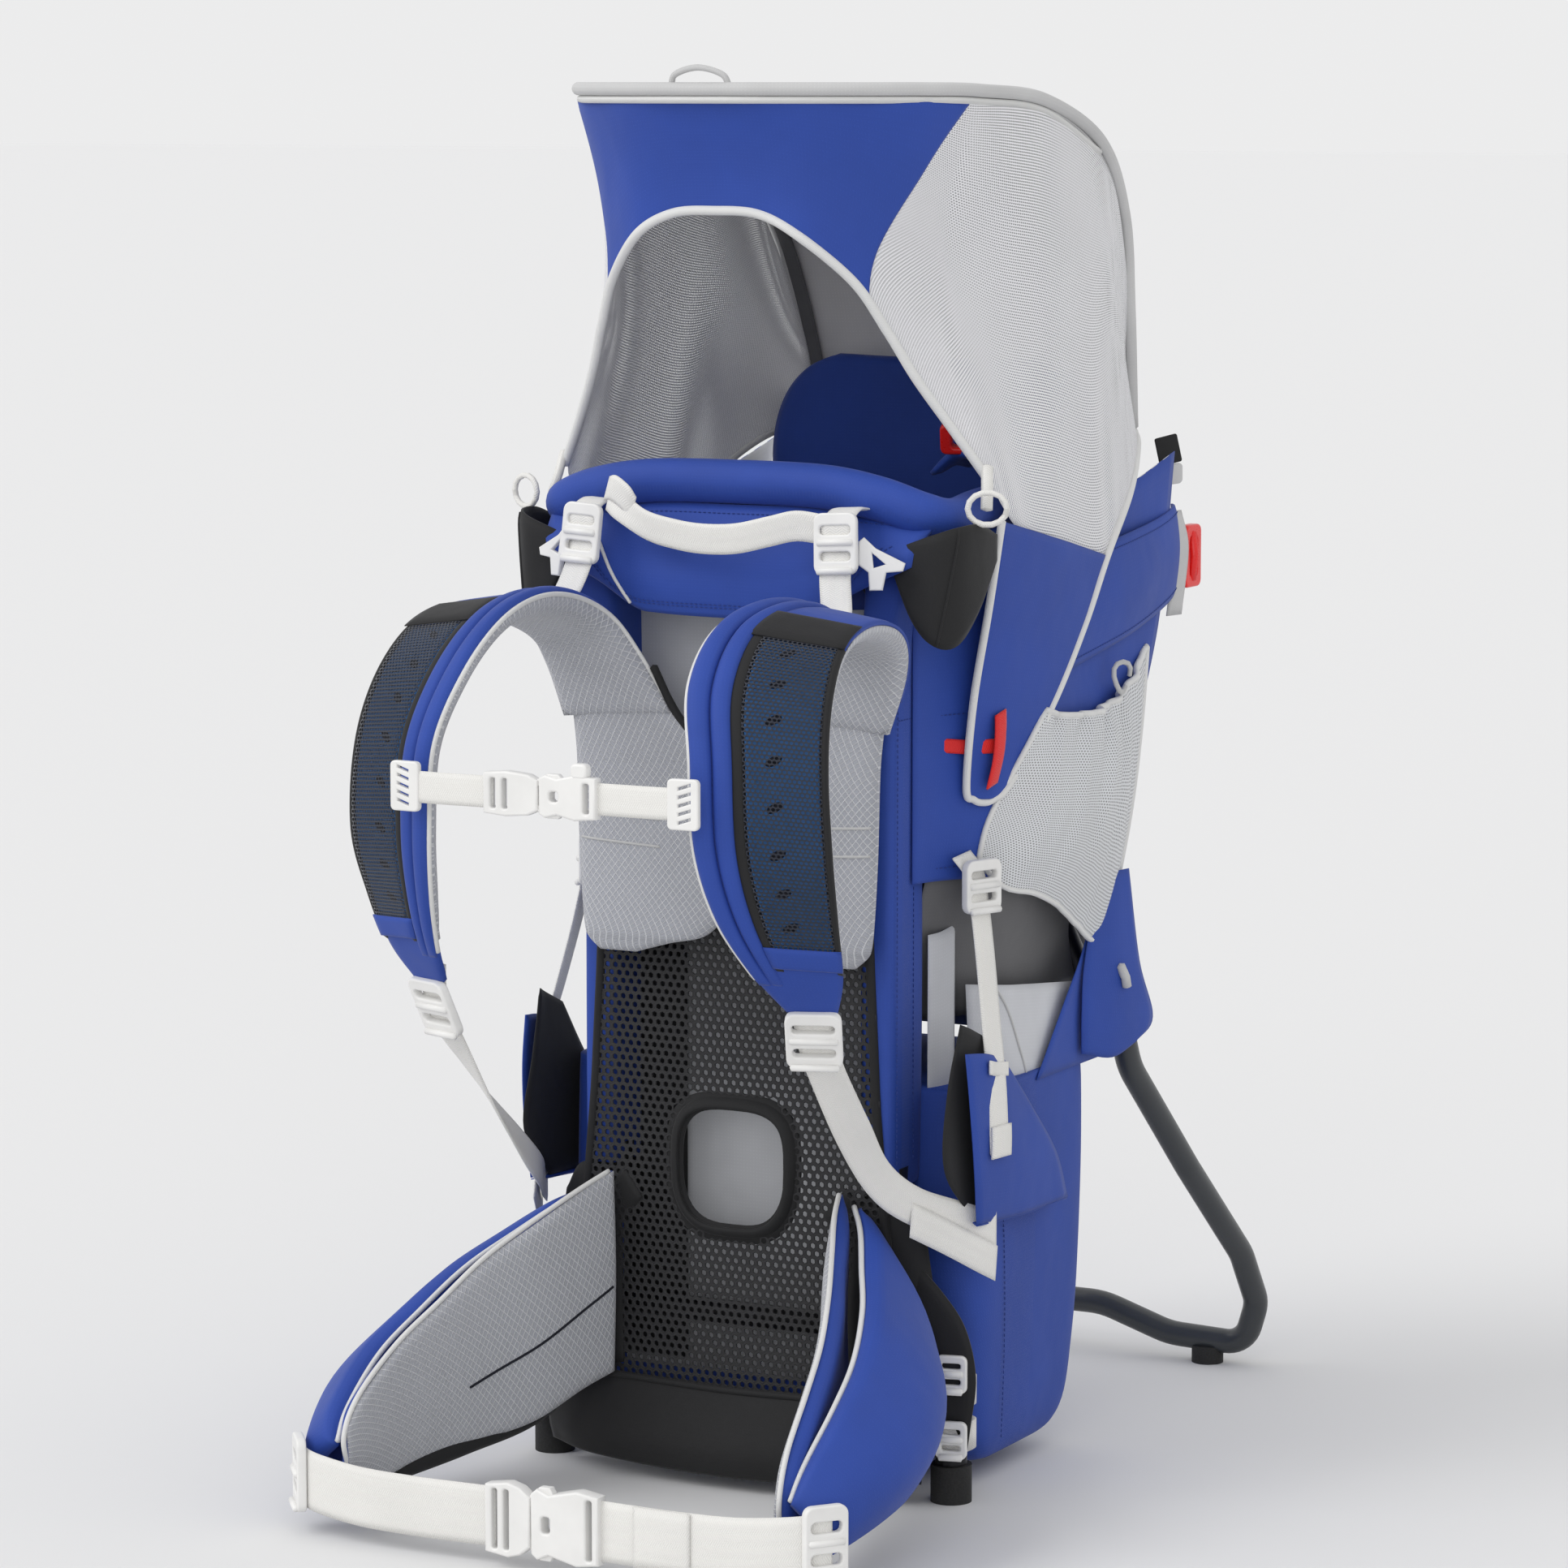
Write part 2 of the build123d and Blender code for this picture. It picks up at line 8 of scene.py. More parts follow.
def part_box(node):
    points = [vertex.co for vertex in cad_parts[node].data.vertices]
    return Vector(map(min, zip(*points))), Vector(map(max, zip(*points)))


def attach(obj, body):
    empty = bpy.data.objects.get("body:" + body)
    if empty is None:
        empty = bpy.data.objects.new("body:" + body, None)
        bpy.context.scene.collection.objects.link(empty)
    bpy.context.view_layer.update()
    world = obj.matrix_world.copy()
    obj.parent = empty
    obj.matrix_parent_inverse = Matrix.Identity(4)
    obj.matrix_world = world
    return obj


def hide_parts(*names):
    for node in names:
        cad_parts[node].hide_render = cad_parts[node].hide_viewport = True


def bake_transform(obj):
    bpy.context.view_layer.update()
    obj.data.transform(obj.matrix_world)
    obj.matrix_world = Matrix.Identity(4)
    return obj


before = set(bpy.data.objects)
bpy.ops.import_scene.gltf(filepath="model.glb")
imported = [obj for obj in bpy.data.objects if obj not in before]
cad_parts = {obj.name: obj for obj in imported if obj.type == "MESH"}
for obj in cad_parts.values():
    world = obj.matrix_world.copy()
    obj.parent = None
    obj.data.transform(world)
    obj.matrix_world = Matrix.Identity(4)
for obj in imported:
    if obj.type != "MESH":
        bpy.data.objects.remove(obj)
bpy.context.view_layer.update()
MM = 0.001
UP = Vector((0, 0, 1))
WEBBING_THICK = 2 * MM
HEAVY_WEBBING_THICK = 3 * MM
FOOT_RADIUS = 13 * MM
FEET_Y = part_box("rubber_feet")[0][1] + FOOT_RADIUS


def at(x, y, z):
    """A place in millimetres across, behind the frame's feet and above the floor, in the frame's metres."""
    return Vector((x * MM, FEET_Y + y * MM, z * MM))


def row(*places):
    return [at(*place) for place in places]


# ---------------------------------------------------------------- shapes

def curve_through(points, steps, closed=False):
    """Catmull-Rom points through the given ones, steps to each span."""
    count = len(points)
    spans = count if closed else count - 1
    dense = []
    for i in range(spans):
        if closed:
            p0, p1, p2, p3 = (points[(i + k) % count] for k in (-1, 0, 1, 2))
        else:
            p1, p2 = points[i], points[i + 1]
            p0 = points[i - 1] if i > 0 else p1 * 2 - p2
            p3 = points[i + 2] if i + 2 < count else p2 * 2 - p1
        for k in range(steps):
            t = k / steps
            a = p1 * 2 + (p2 - p0) * t
            b = (p0 * 2 - p1 * 5 + p2 * 4 - p3) * t * t
            c = (p1 * 3 - p0 - p2 * 3 + p3) * t * t * t
            dense.append((a + b + c) * 0.5)
    if not closed:
        dense.append(points[-1].copy())
    return dense


def spread(rows, across, along):
    """A fine grid through a coarse one: across steps along each row, along steps between rows."""
    wide = [curve_through(points, across) for points in rows]
    columns = [curve_through(list(column), along) for column in zip(*wide)]
    return [list(line) for line in zip(*columns)]


def grid_normals(grid):
    """Unit normals of a grid, row run crossed with column run."""
    last_row, last_col = len(grid) - 1, len(grid[0]) - 1
    normals = []
    for r, line in enumerate(grid):
        normals.append([])
        for c in range(len(line)):
            run = line[min(c + 1, last_col)] - line[max(c - 1, 0)]
            rise = grid[min(r + 1, last_row)][c] - grid[max(r - 1, 0)][c]
            normal = run.cross(rise)
            normals[-1].append(normal.normalized() if normal.length > 1e-12 else UP)
    return normals


def arc_lengths(points):
    lengths = [0.0]
    for a, b in zip(points, points[1:]):
        lengths.append(lengths[-1] + (b - a).length)
    return lengths


def new_object(name, vertices, faces, uvs=None, smooth=True):
    mesh = bpy.data.meshes.new(name)
    mesh.from_pydata(vertices, [], faces)
    if uvs is not None:
        layer = mesh.uv_layers.new(name="cloth")
        for loop in mesh.loops:
            layer.data[loop.index].uv = uvs[loop.vertex_index]
    mesh.polygons.foreach_set("use_smooth", [smooth] * len(mesh.polygons))
    mesh.update()
    piece = bpy.data.objects.new(name, mesh)
    bpy.context.scene.collection.objects.link(piece)
    return piece


def dress(piece, material, slot, body, *nodes):
    """Gives a piece its finish, its body and the CAD nodes it stands for."""
    piece.data.materials.clear()
    piece.data.materials.append(material)
    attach(piece, body)
    if nodes:
        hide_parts(*nodes)
    return piece


FRONTS = {}


def flat_profile(edge=0.25):
    """Even thickness with slightly rounded edges."""
    def profile(u, v):
        rim = min(u, 1 - u, v, 1 - v)
        return 1.0 if rim > 1e-6 else edge
    return profile


def crowned(power=3.0, edge=0.25):
    """A stuffed pad: full in the middle, pinched at the rim."""
    def profile(u, v):
        across = 1 - abs(2 * u - 1) ** power
        along = 1 - abs(2 * v - 1) ** (power * 2)
        return edge + (1 - edge) * math.sqrt(max(0.0, across * along))
    return profile


def slab(name, grid, front, back, profile=None, back_profile=None):
    """A closed solid round a grid, raised by front along its normals and by back against them."""
    profile = profile or flat_profile()
    back_profile = back_profile or profile
    rows, columns = len(grid), len(grid[0])
    normals = grid_normals(grid)
    middle = arc_lengths([line[columns // 2] for line in grid])
    vertices, uvs = [], []
    for sign, depth, shape in ((1, front, profile), (-1, back, back_profile)):
        for r in range(rows):
            widths = arc_lengths(grid[r])
            half = widths[-1] / 2
            for c in range(columns):
                amount = shape(c / (columns - 1), r / (rows - 1)) * depth * sign
                vertices.append(grid[r][c] + normals[r][c] * amount)
                uvs.append((widths[c] - half, middle[r]))
    faces = []
    offset = rows * columns
    for r in range(rows - 1):
        for c in range(columns - 1):
            a, b = r * columns + c, r * columns + c + 1
            d, e = a + columns, b + columns
            faces.append((a, b, e, d))
            faces.append((offset + a, offset + d, offset + e, offset + b))
    rim = [(0, c) for c in range(columns)] + [(r, columns - 1) for r in range(1, rows)]
    rim += [(rows - 1, c) for c in range(columns - 2, -1, -1)] + [(r, 0) for r in range(rows - 2, 0, -1)]
    for (r0, c0), (r1, c1) in zip(rim, rim[1:] + rim[:1]):
        a, b = r0 * columns + c0, r1 * columns + c1
        faces.append((a, offset + a, offset + b, b))
    piece = new_object(name, vertices, faces, uvs)
    FRONTS[name] = [vertices[r * columns:(r + 1) * columns] for r in range(rows)]
    return piece


def on_front(name, u, v, lift=0.0):
    """A place on a slab's front face, from 0 to 1 across and along."""
    front = FRONTS[name]
    x, y = u * (len(front[0]) - 1), v * (len(front) - 1)
    c, r = min(int(x), len(front[0]) - 2), min(int(y), len(front) - 2)
    s, t = x - c, y - r
    low = front[r][c].lerp(front[r][c + 1], s)
    high = front[r + 1][c].lerp(front[r + 1][c + 1], s)
    place = low.lerp(high, t)
    if lift:
        normal = (front[r][c + 1] - front[r][c]).cross(front[r + 1][c] - front[r][c])
        place = place + normal.normalized() * lift
    return place


def front_line(name, start, end, count, lift=0.0):
    """Places on a slab's front from one (u, v) to another."""
    line = []
    for i in range(count + 1):
        t = i / count
        u = start[0] + (end[0] - start[0]) * t
        v = start[1] + (end[1] - start[1]) * t
        line.append(on_front(name, u, v, lift))
    return line


def pipe(name, points, radius, closed=False, sides=10, flat=1.0, taper=None):
    """A round or flattened bar along points, with domed ends."""
    count = len(points)
    tangents = []
    for i in range(count):
        a = points[(i - 1) % count] if closed or i > 0 else points[i]
        b = points[(i + 1) % count] if closed or i < count - 1 else points[i]
        tangents.append((b - a).normalized())
    side = tangents[0].orthogonal().normalized()
    vertices, uvs, rings = [], [], []
    lengths = arc_lengths(points)
    for i, place in enumerate(points):
        side = (side - tangents[i] * side.dot(tangents[i])).normalized()
        up = tangents[i].cross(side)
        size = radius * (taper(i / (count - 1)) if taper else 1.0)
        rings.append(len(vertices))
        for k in range(sides):
            angle = 2 * math.pi * k / sides
            offset = side * math.cos(angle) * size + up * math.sin(angle) * size * flat
            vertices.append(place + offset)
            uvs.append((size * angle, lengths[i]))
    faces = []
    spans = count if closed else count - 1
    for i in range(spans):
        a, b = rings[i], rings[(i + 1) % count]
        for k in range(sides):
            n = (k + 1) % sides
            faces.append((a + k, a + n, b + n, b + k))
    if not closed:
        for ring, place, tangent, sign in (
            (rings[0], points[0], tangents[0], -1),
            (rings[-1], points[-1], tangents[-1], 1),
        ):
            tip = len(vertices)
            vertices.append(place + tangent * sign * radius * 0.5 * min(flat, 1))
            uvs.append((0, 0))
            for k in range(sides):
                n = (k + 1) % sides
                edge = (ring + n, ring + k) if sign < 0 else (ring + k, ring + n)
                faces.append((*edge, tip))
    return new_object(name, vertices, faces, uvs)


def lofted(name, loops, cap=True):
    """A closed skin through closed loops of equal count, ends capped with a fan."""
    sides = len(loops[0])
    vertices, uvs, faces = [], [], []
    spine = arc_lengths([sum(loop, Vector()) / sides for loop in loops])
    for loop, height in zip(loops, spine):
        lengths = arc_lengths(loop + [loop[0]])
        for k in range(sides):
            vertices.append(loop[k])
            uvs.append((lengths[k], height))
    for i in range(len(loops) - 1):
        for k in range(sides):
            n = (k + 1) % sides
            a, b = i * sides, (i + 1) * sides
            faces.append((a + k, a + n, b + n, b + k))
    if cap:
        for start, ordered in ((0, range(sides - 1, -1, -1)), ((len(loops) - 1) * sides, range(sides))):
            faces.append(tuple(start + k for k in ordered))
    return new_object(name, vertices, faces, uvs)


def ellipse_loop(centre, across, deep, count=20, square=2.0):
    """A rounded loop spanned by two half-axis vectors; square above 2 makes it boxier."""
    loop = []
    for k in range(count):
        angle = 2 * math.pi * k / count
        c, s = math.cos(angle), math.sin(angle)
        x = math.copysign(abs(c) ** (2 / square), c)
        y = math.copysign(abs(s) ** (2 / square), s)
        loop.append(centre + across * x + deep * y)
    return loop


def ribbon(name, points, across, width, thick, steps=6, wide=6):
    """Webbing through points; across is one vector or one for each point."""
    sides = across if isinstance(across, list) else [across] * len(points)
    halves = [Vector(side).normalized() * width / 2 for side in sides]
    rows = []
    for place, half in zip(points, halves):
        rows.append([place - half + half * (2 * k / wide) for k in range(wide + 1)])
    return slab(name, spread(rows, 1, steps), thick / 2, thick / 2, flat_profile(0.45))


def joined(name, pieces):
    """One object from several, keeping each one's own faces and cloth coordinates."""
    bpy.ops.object.select_all(action="DESELECT")
    for piece in pieces:
        piece.select_set(True)
    bpy.context.view_layer.objects.active = pieces[0]
    bpy.ops.object.join()
    pieces[0].name = name
    return pieces[0]


def rounded_outline(width, height, radius, steps=5):
    """Corner-rounded rectangle, points anticlockwise."""
    points = []
    corners = [(1, 1, 0), (-1, 1, 90), (-1, -1, 180), (1, -1, 270)]
    for sx, sy, start in corners:
        cx, cy = sx * (width / 2 - radius), sy * (height / 2 - radius)
        for k in range(steps + 1):
            angle = math.radians(start + 90 * k / steps)
            points.append((cx + radius * math.cos(angle), cy + radius * math.sin(angle)))
    return points


def plate(name, outline, holes, thick, bevel, place):
    """A moulded plate from a flat outline and holes in millimetres, set by a 4x4 matrix."""
    curve = bpy.data.curves.new(name, "CURVE")
    curve.dimensions = "2D"
    curve.fill_mode = "BOTH"
    curve.extrude = (thick / 2 - bevel) * MM
    curve.bevel_depth = bevel * MM
    curve.bevel_resolution = 2
    curve.offset = -bevel * MM
    for ring in [outline, *holes]:
        spline = curve.splines.new("POLY")
        spline.points.add(len(ring) - 1)
        for point, (x, y) in zip(spline.points, ring):
            point.co = (x * MM, y * MM, 0, 1)
        spline.use_cyclic_u = True
    holder = bpy.data.objects.new(name + "_outline", curve)
    bpy.context.scene.collection.objects.link(holder)
    bpy.context.view_layer.update()
    mesh = bpy.data.meshes.new_from_object(holder.evaluated_get(bpy.context.evaluated_depsgraph_get()))
    bpy.data.objects.remove(holder)
    bpy.data.curves.remove(curve)
    mesh.transform(place)
    mesh.name = name
    piece = bpy.data.objects.new(name, mesh)
    bpy.context.scene.collection.objects.link(piece)
    smooth_by_angle(piece)
    return piece


def smooth_by_angle(piece, degrees=35):
    """Smooth faces with hard edges kept sharp."""
    mesh = piece.data
    mesh.polygons.foreach_set("use_smooth", [True] * len(mesh.polygons))
    mesh.set_sharp_from_angle(angle=math.radians(degrees))


def facing(origin, across, up):
    """A 4x4 matrix with X along across, Y along up and Z out of the face."""
    x = Vector(across).normalized()
    z = x.cross(Vector(up)).normalized()
    y = z.cross(x)
    turn = Matrix((x, y, z)).transposed().to_4x4()
    return Matrix.Translation(origin) @ turn


def stitch_row(points, pitch=3.4, length=2.3, radius=0.38):
    """Loose thread stitches lying along points, as one list of vertices and faces."""
    lengths = arc_lengths(points)
    vertices, faces = [], []
    step = 0
    place = pitch * MM * 0.5
    while place + length * MM < lengths[-1]:
        while lengths[step + 1] < place:
            step += 1
        span = max(lengths[step + 1] - lengths[step], 1e-9)
        start = points[step].lerp(points[step + 1], (place - lengths[step]) / span)
        along = (points[step + 1] - points[step]).normalized()
        side = along.orthogonal().normalized() * radius * MM
        up = along.cross(side)
        base = len(vertices)
        for reach, size in ((0, 0.35), (0.25, 1), (0.75, 1), (1, 0.35)):
            centre = start + along * (length * MM * reach)
            for k in range(5):
                angle = 2 * math.pi * k / 5
                vertices.append(centre + (side * math.cos(angle) + up * math.sin(angle)) * size)
        for ring in range(3):
            for k in range(5):
                n = (k + 1) % 5
                a, b = base + ring * 5, base + ring * 5 + 5
                faces.append((a + k, a + n, b + n, b + k))
        faces.append(tuple(base + k for k in range(4, -1, -1)))
        faces.append(tuple(base + 15 + k for k in range(5)))
        place += pitch * MM
    return vertices, faces


def stitches(name, lines, material, slot, body, **sizes):
    """Rows of stitches as one piece."""
    vertices, faces = [], []
    for line in lines:
        more, more_faces = stitch_row(line, **sizes)
        faces += [tuple(len(vertices) + k for k in face) for face in more_faces]
        vertices += more
    return dress(new_object(name, vertices, faces), material, slot, body)


# ---------------------------------------------------------------- finishes

def node(tree, kind, values=(), **settings):
    """A shader node with its settings, and numbers or links for its inputs in order."""
    made = tree.nodes.new("ShaderNode" + kind)
    for key, value in settings.items():
        setattr(made, key, value)
    for slot_index, value in enumerate(values):
        if value is None:
            continue
        if isinstance(value, bpy.types.NodeSocket):
            tree.links.new(value, made.inputs[slot_index])
        else:
            made.inputs[slot_index].default_value = value
    return made


def maths(tree, operation, *values):
    return node(tree, "Math", values, operation=operation).outputs[0]


def new_group(name, inputs, outputs):
    """An empty node group with number inputs and outputs of the given socket kinds."""
    tree = bpy.data.node_groups.new(name, "ShaderNodeTree")
    for label, kind, default in inputs:
        socket = tree.interface.new_socket(label, in_out="INPUT", socket_type="NodeSocket" + kind)
        if default is not None:
            socket.default_value = default
    for label, kind in outputs:
        tree.interface.new_socket(label, in_out="OUTPUT", socket_type="NodeSocket" + kind)
    source = tree.nodes.new("NodeGroupInput")
    sink = tree.nodes.new("NodeGroupOutput")
    return tree, source.outputs, sink.inputs


def cloth_axes(tree):
    """Across and along the cloth, in millimetres."""
    uv = tree.nodes.new("ShaderNodeUVMap")
    uv.uv_map = "cloth"
    split = node(tree, "SeparateXYZ", [uv.outputs[0]])
    across = maths(tree, "MULTIPLY", split.outputs[0], 1000.0)
    along = maths(tree, "MULTIPLY", split.outputs[1], 1000.0)
    return across, along


def wave(tree, value, pitch):
    turns = maths(tree, "DIVIDE", value, pitch)
    return maths(tree, "SINE", maths(tree, "MULTIPLY", turns, 2 * math.pi))


def build_weave():
    """Plain weave threads with a raised dot every few threads."""
    tree, given, result = new_group(
        "woven threads",
        [("Pitch", "Float", 0.9), ("Dot spacing", "Float", 4.6)],
        [("Height", "Float"), ("Dots", "Float")],
    )
    u, v = cloth_axes(tree)
    threads = maths(tree, "MULTIPLY", wave(tree, u, given[0]), wave(tree, v, given[0]))
    dot_u = wave(tree, maths(tree, "ADD", u, v), given[1])
    dot_v = wave(tree, maths(tree, "SUBTRACT", u, v), given[1])
    dots = maths(tree, "MULTIPLY", dot_u, dot_v)
    sharp = maths(tree, "SMOOTH_MAX", maths(tree, "SUBTRACT", dots, 0.55), 0.0, 0.1)
    height = maths(tree, "MULTIPLY_ADD", threads, 0.35, maths(tree, "ADD", sharp, 0.4))
    tree.links.new(height, result[0])
    tree.links.new(sharp, result[1])
    return tree


def build_diamonds():
    """Rows of diamond cells between raised cords."""
    tree, given, result = new_group(
        "diamond cells",
        [("Width", "Float", 4.8), ("Height", "Float", 5.6), ("Cord", "Float", 0.17)],
        [("Cords", "Float"), ("Height", "Float")],
    )
    u, v = cloth_axes(tree)
    across = maths(tree, "DIVIDE", u, given[0])
    along = maths(tree, "DIVIDE", v, given[1])
    one = maths(tree, "PINGPONG", maths(tree, "ADD", across, along), 0.5)
    two = maths(tree, "PINGPONG", maths(tree, "SUBTRACT", across, along), 0.5)
    nearest = maths(tree, "MINIMUM", one, two)
    cords = node(tree, "MapRange", [nearest, 0.0, given[2], 1.0, 0.0], interpolation_type="SMOOTHSTEP")
    fine = maths(tree, "MULTIPLY", wave(tree, u, 1.1), wave(tree, v, 1.1))
    height = maths(tree, "MULTIPLY_ADD", fine, 0.08, cords.outputs[0])
    tree.links.new(cords.outputs[0], result[0])
    tree.links.new(height, result[1])
    return tree


def build_ribs():
    """Herringbone ribs of flat webbing."""
    tree, given, result = new_group(
        "webbing ribs", [("Pitch", "Float", 1.5), ("Slope", "Float", 0.6)], [("Height", "Float")]
    )
    u, v = cloth_axes(tree)
    folded = maths(tree, "MULTIPLY", maths(tree, "PINGPONG", u, 4.0), given[1])
    ribs = wave(tree, maths(tree, "ADD", v, folded), given[0])
    picks = wave(tree, u, 1.0)
    height = maths(tree, "MULTIPLY_ADD", picks, 0.3, ribs)
    tree.links.new(height, result[0])
    return tree


def build_holes():
    """Staggered round holes of a knitted mesh: 1 in a hole, 0 on the thread."""
    tree, given, result = new_group(
        "mesh holes", [("Pitch", "Float", 1.8), ("Size", "Float", 0.3)], [("Holes", "Float")]
    )
    u, v = cloth_axes(tree)
    half = maths(tree, "MULTIPLY", given[0], 0.5)
    row_height = maths(tree, "MULTIPLY", given[0], 0.866)
    line = maths(tree, "DIVIDE", v, row_height)
    odd = maths(tree, "MODULO", maths(tree, "FLOOR", line), 2.0)
    shifted = maths(tree, "ADD", u, maths(tree, "MULTIPLY", odd, half))
    dx = maths(tree, "SUBTRACT", maths(tree, "FRACT", maths(tree, "DIVIDE", shifted, given[0])), 0.5)
    dy = maths(tree, "SUBTRACT", maths(tree, "FRACT", line), 0.5)
    squared = maths(tree, "ADD", maths(tree, "MULTIPLY", dx, dx), maths(tree, "MULTIPLY", dy, dy))
    away = maths(tree, "SQRT", squared)
    outer = maths(tree, "ADD", given[1], 0.08)
    holes = node(tree, "MapRange", [away, given[1], outer, 1.0, 0.0], interpolation_type="SMOOTHSTEP")
    tree.links.new(holes.outputs[0], result[0])
    return tree


def build_wear():
    """Broad and fine colour drift, with a height for soft creases or mould grain."""
    tree, given, result = new_group(
        "drift and creases",
        [("Broad", "Float", 14.0), ("Fine", "Float", 220.0)],
        [("Drift", "Float"), ("Creases", "Float"), ("Grain", "Float")],
    )
    place = tree.nodes.new("ShaderNodeTexCoord").outputs["Object"]
    broad = node(tree, "TexNoise", [place, None, given[0], 3.0, 0.55])
    crease = node(tree, "TexNoise", [place, None, maths(tree, "MULTIPLY", given[0], 2.3), 2.0, 0.4])
    grain = node(tree, "TexNoise", [place, None, given[1], 2.0, 0.5])
    tree.links.new(broad.outputs[0], result[0])
    tree.links.new(crease.outputs[0], result[1])
    tree.links.new(grain.outputs[0], result[2])
    return tree


WEAVE = build_weave()
DIAMONDS = build_diamonds()
RIBS = build_ribs()
HOLES = build_holes()
WEAR = build_wear()


def placed(tree, group, **numbers):
    """A group node in a material, with its number inputs set by name."""
    made = tree.nodes.new("ShaderNodeGroup")
    made.node_tree = group
    for label, value in numbers.items():
        made.inputs[label.replace("_", " ")].default_value = value
    return made.outputs


def shades(tree, factor, dark, light):
    """A colour between two, by a factor."""
    mix = node(tree, "Mix", data_type="RGBA")
    tree.links.new(factor, mix.inputs[0])
    mix.inputs[6].default_value = (*dark, 1)
    mix.inputs[7].default_value = (*light, 1)
    return mix.outputs[2]


def bumped(tree, shader, layers):
    """Chained bumps, each (height, strength, distance in millimetres)."""
    normal = None
    for height, strength, distance in layers:
        bump = tree.nodes.new("ShaderNodeBump")
        bump.inputs["Strength"].default_value = strength
        bump.inputs["Distance"].default_value = distance * MM
        tree.links.new(height, bump.inputs["Height"])
        if normal is not None:
            tree.links.new(normal, bump.inputs["Normal"])
        normal = bump.outputs[0]
    tree.links.new(normal, shader.inputs["Normal"])


def blank(name, roughness, **sockets):
    """A new material with plain numbers on its shader's own sockets."""
    material = bpy.data.materials.new(name)
    material.use_nodes = True
    shader = material.node_tree.nodes["Principled BSDF"]
    shader.inputs["Roughness"].default_value = roughness
    for label, value in sockets.items():
        shader.inputs[label.replace("_", " ")].default_value = value
    return material, material.node_tree, shader


def scaled(colour, factor):
    return tuple(channel * factor for channel in colour)


def woven_cloth(name, colour, roughness=0.72, pitch=0.9, dots=4.6, dot_bump=0.25, crease=0.5):
    """Nylon cloth: threads, faint raised dots, soft creases and a little sheen."""
    material, tree, shader = blank(name, roughness, Sheen_Weight=0.06, Sheen_Roughness=0.4)
    weave = placed(tree, WEAVE, Pitch=pitch, Dot_spacing=dots)
    wear = placed(tree, WEAR, Broad=13.0, Fine=240.0)
    base = shades(tree, wear["Drift"], scaled(colour, 0.82), scaled(colour, 1.18))
    lifted = node(tree, "Mix", data_type="RGBA", blend_type="ADD")
    tree.links.new(maths(tree, "MULTIPLY", weave["Dots"], 0.22), lifted.inputs[0])
    tree.links.new(base, lifted.inputs[6])
    lifted.inputs[7].default_value = (*scaled(colour, 0.9), 1)
    tree.links.new(lifted.outputs[2], shader.inputs["Base Color"])
    bumped(tree, shader, [
        (wear["Creases"], crease, 3.0),
        (weave["Dots"], dot_bump, 0.3),
        (weave["Height"], 0.35, 0.12),
    ])
    return material


def diamond_cloth(name, cord, cell):
    """Spacer mesh of pale cords round grey diamond cells."""
    material, tree, shader = blank(name, 0.8, Sheen_Weight=0.3, Sheen_Roughness=0.5)
    cells = placed(tree, DIAMONDS)
    wear = placed(tree, WEAR, Broad=18.0, Fine=300.0)
    shade = node(tree, "Mix", data_type="RGBA")
    tree.links.new(cells["Cords"], shade.inputs[0])
    tree.links.new(shades(tree, wear["Drift"], scaled(cell, 0.9), scaled(cell, 1.12)), shade.inputs[6])
    tree.links.new(shades(tree, wear["Grain"], scaled(cord, 0.92), cord), shade.inputs[7])
    tree.links.new(shade.outputs[2], shader.inputs["Base Color"])
    bumped(tree, shader, [(wear["Creases"], 0.35, 2.0), (cells["Height"], 0.9, 0.6)])
    return material


def webbing_cloth(name, colour, pitch=1.5):
    """Flat woven webbing with herringbone ribs, with painted shade in the rib troughs."""
    material, tree, shader = blank(name, 0.62, Sheen_Weight=0.2, Sheen_Roughness=0.35)
    ribs = placed(tree, RIBS, Pitch=pitch)
    wear = placed(tree, WEAR, Broad=22.0, Fine=420.0)
    # painted shade: rib troughs darker and crests lighter, mixed half and half with random tone drift
    rib_painted_shade = node(tree, "MapRange", [ribs[0], -1.3, 1.3, 0.0, 1.0]).outputs[0]
    drift_and_rib_shade = maths(tree, "MULTIPLY_ADD", wear["Drift"], 0.5, maths(tree, "MULTIPLY", rib_painted_shade, 0.5))
    tree.links.new(shades(tree, drift_and_rib_shade, scaled(colour, 0.86), scaled(colour, 1.05)),
                   shader.inputs["Base Color"])
    bumped(tree, shader, [(wear["Creases"], 0.25, 1.5), (ribs[0], 0.5, 0.18)])
    return material


def open_mesh(name, colour, pitch=1.8, size=0.27, see_through=0.75):
    """Fine knitted mesh that shows a little of what is behind it, with painted shade in its holes."""
    material, tree, shader = blank(name, 0.75, Sheen_Weight=0.2, Sheen_Roughness=0.5)
    holes = placed(tree, HOLES, Pitch=pitch, Size=size)
    wear = placed(tree, WEAR, Broad=9.0, Fine=260.0)
    shade = node(tree, "Mix", data_type="RGBA")
    tree.links.new(holes[0], shade.inputs[0])
    tree.links.new(shades(tree, wear["Drift"], scaled(colour, 0.9), scaled(colour, 1.06)), shade.inputs[6])
    # painted shade: what still covers the holes is a darker copy of the thread colour
    shade.inputs[7].default_value = (*scaled(colour, 0.45), 1)
    tree.links.new(shade.outputs[2], shader.inputs["Base Color"])
    alpha = maths(tree, "SUBTRACT", 1.0, maths(tree, "MULTIPLY", holes[0], see_through))
    tree.links.new(alpha, shader.inputs["Alpha"])
    bumped(tree, shader, [(wear["Creases"], 0.5, 4.0), (holes[0], -0.4, 0.2)])
    return material


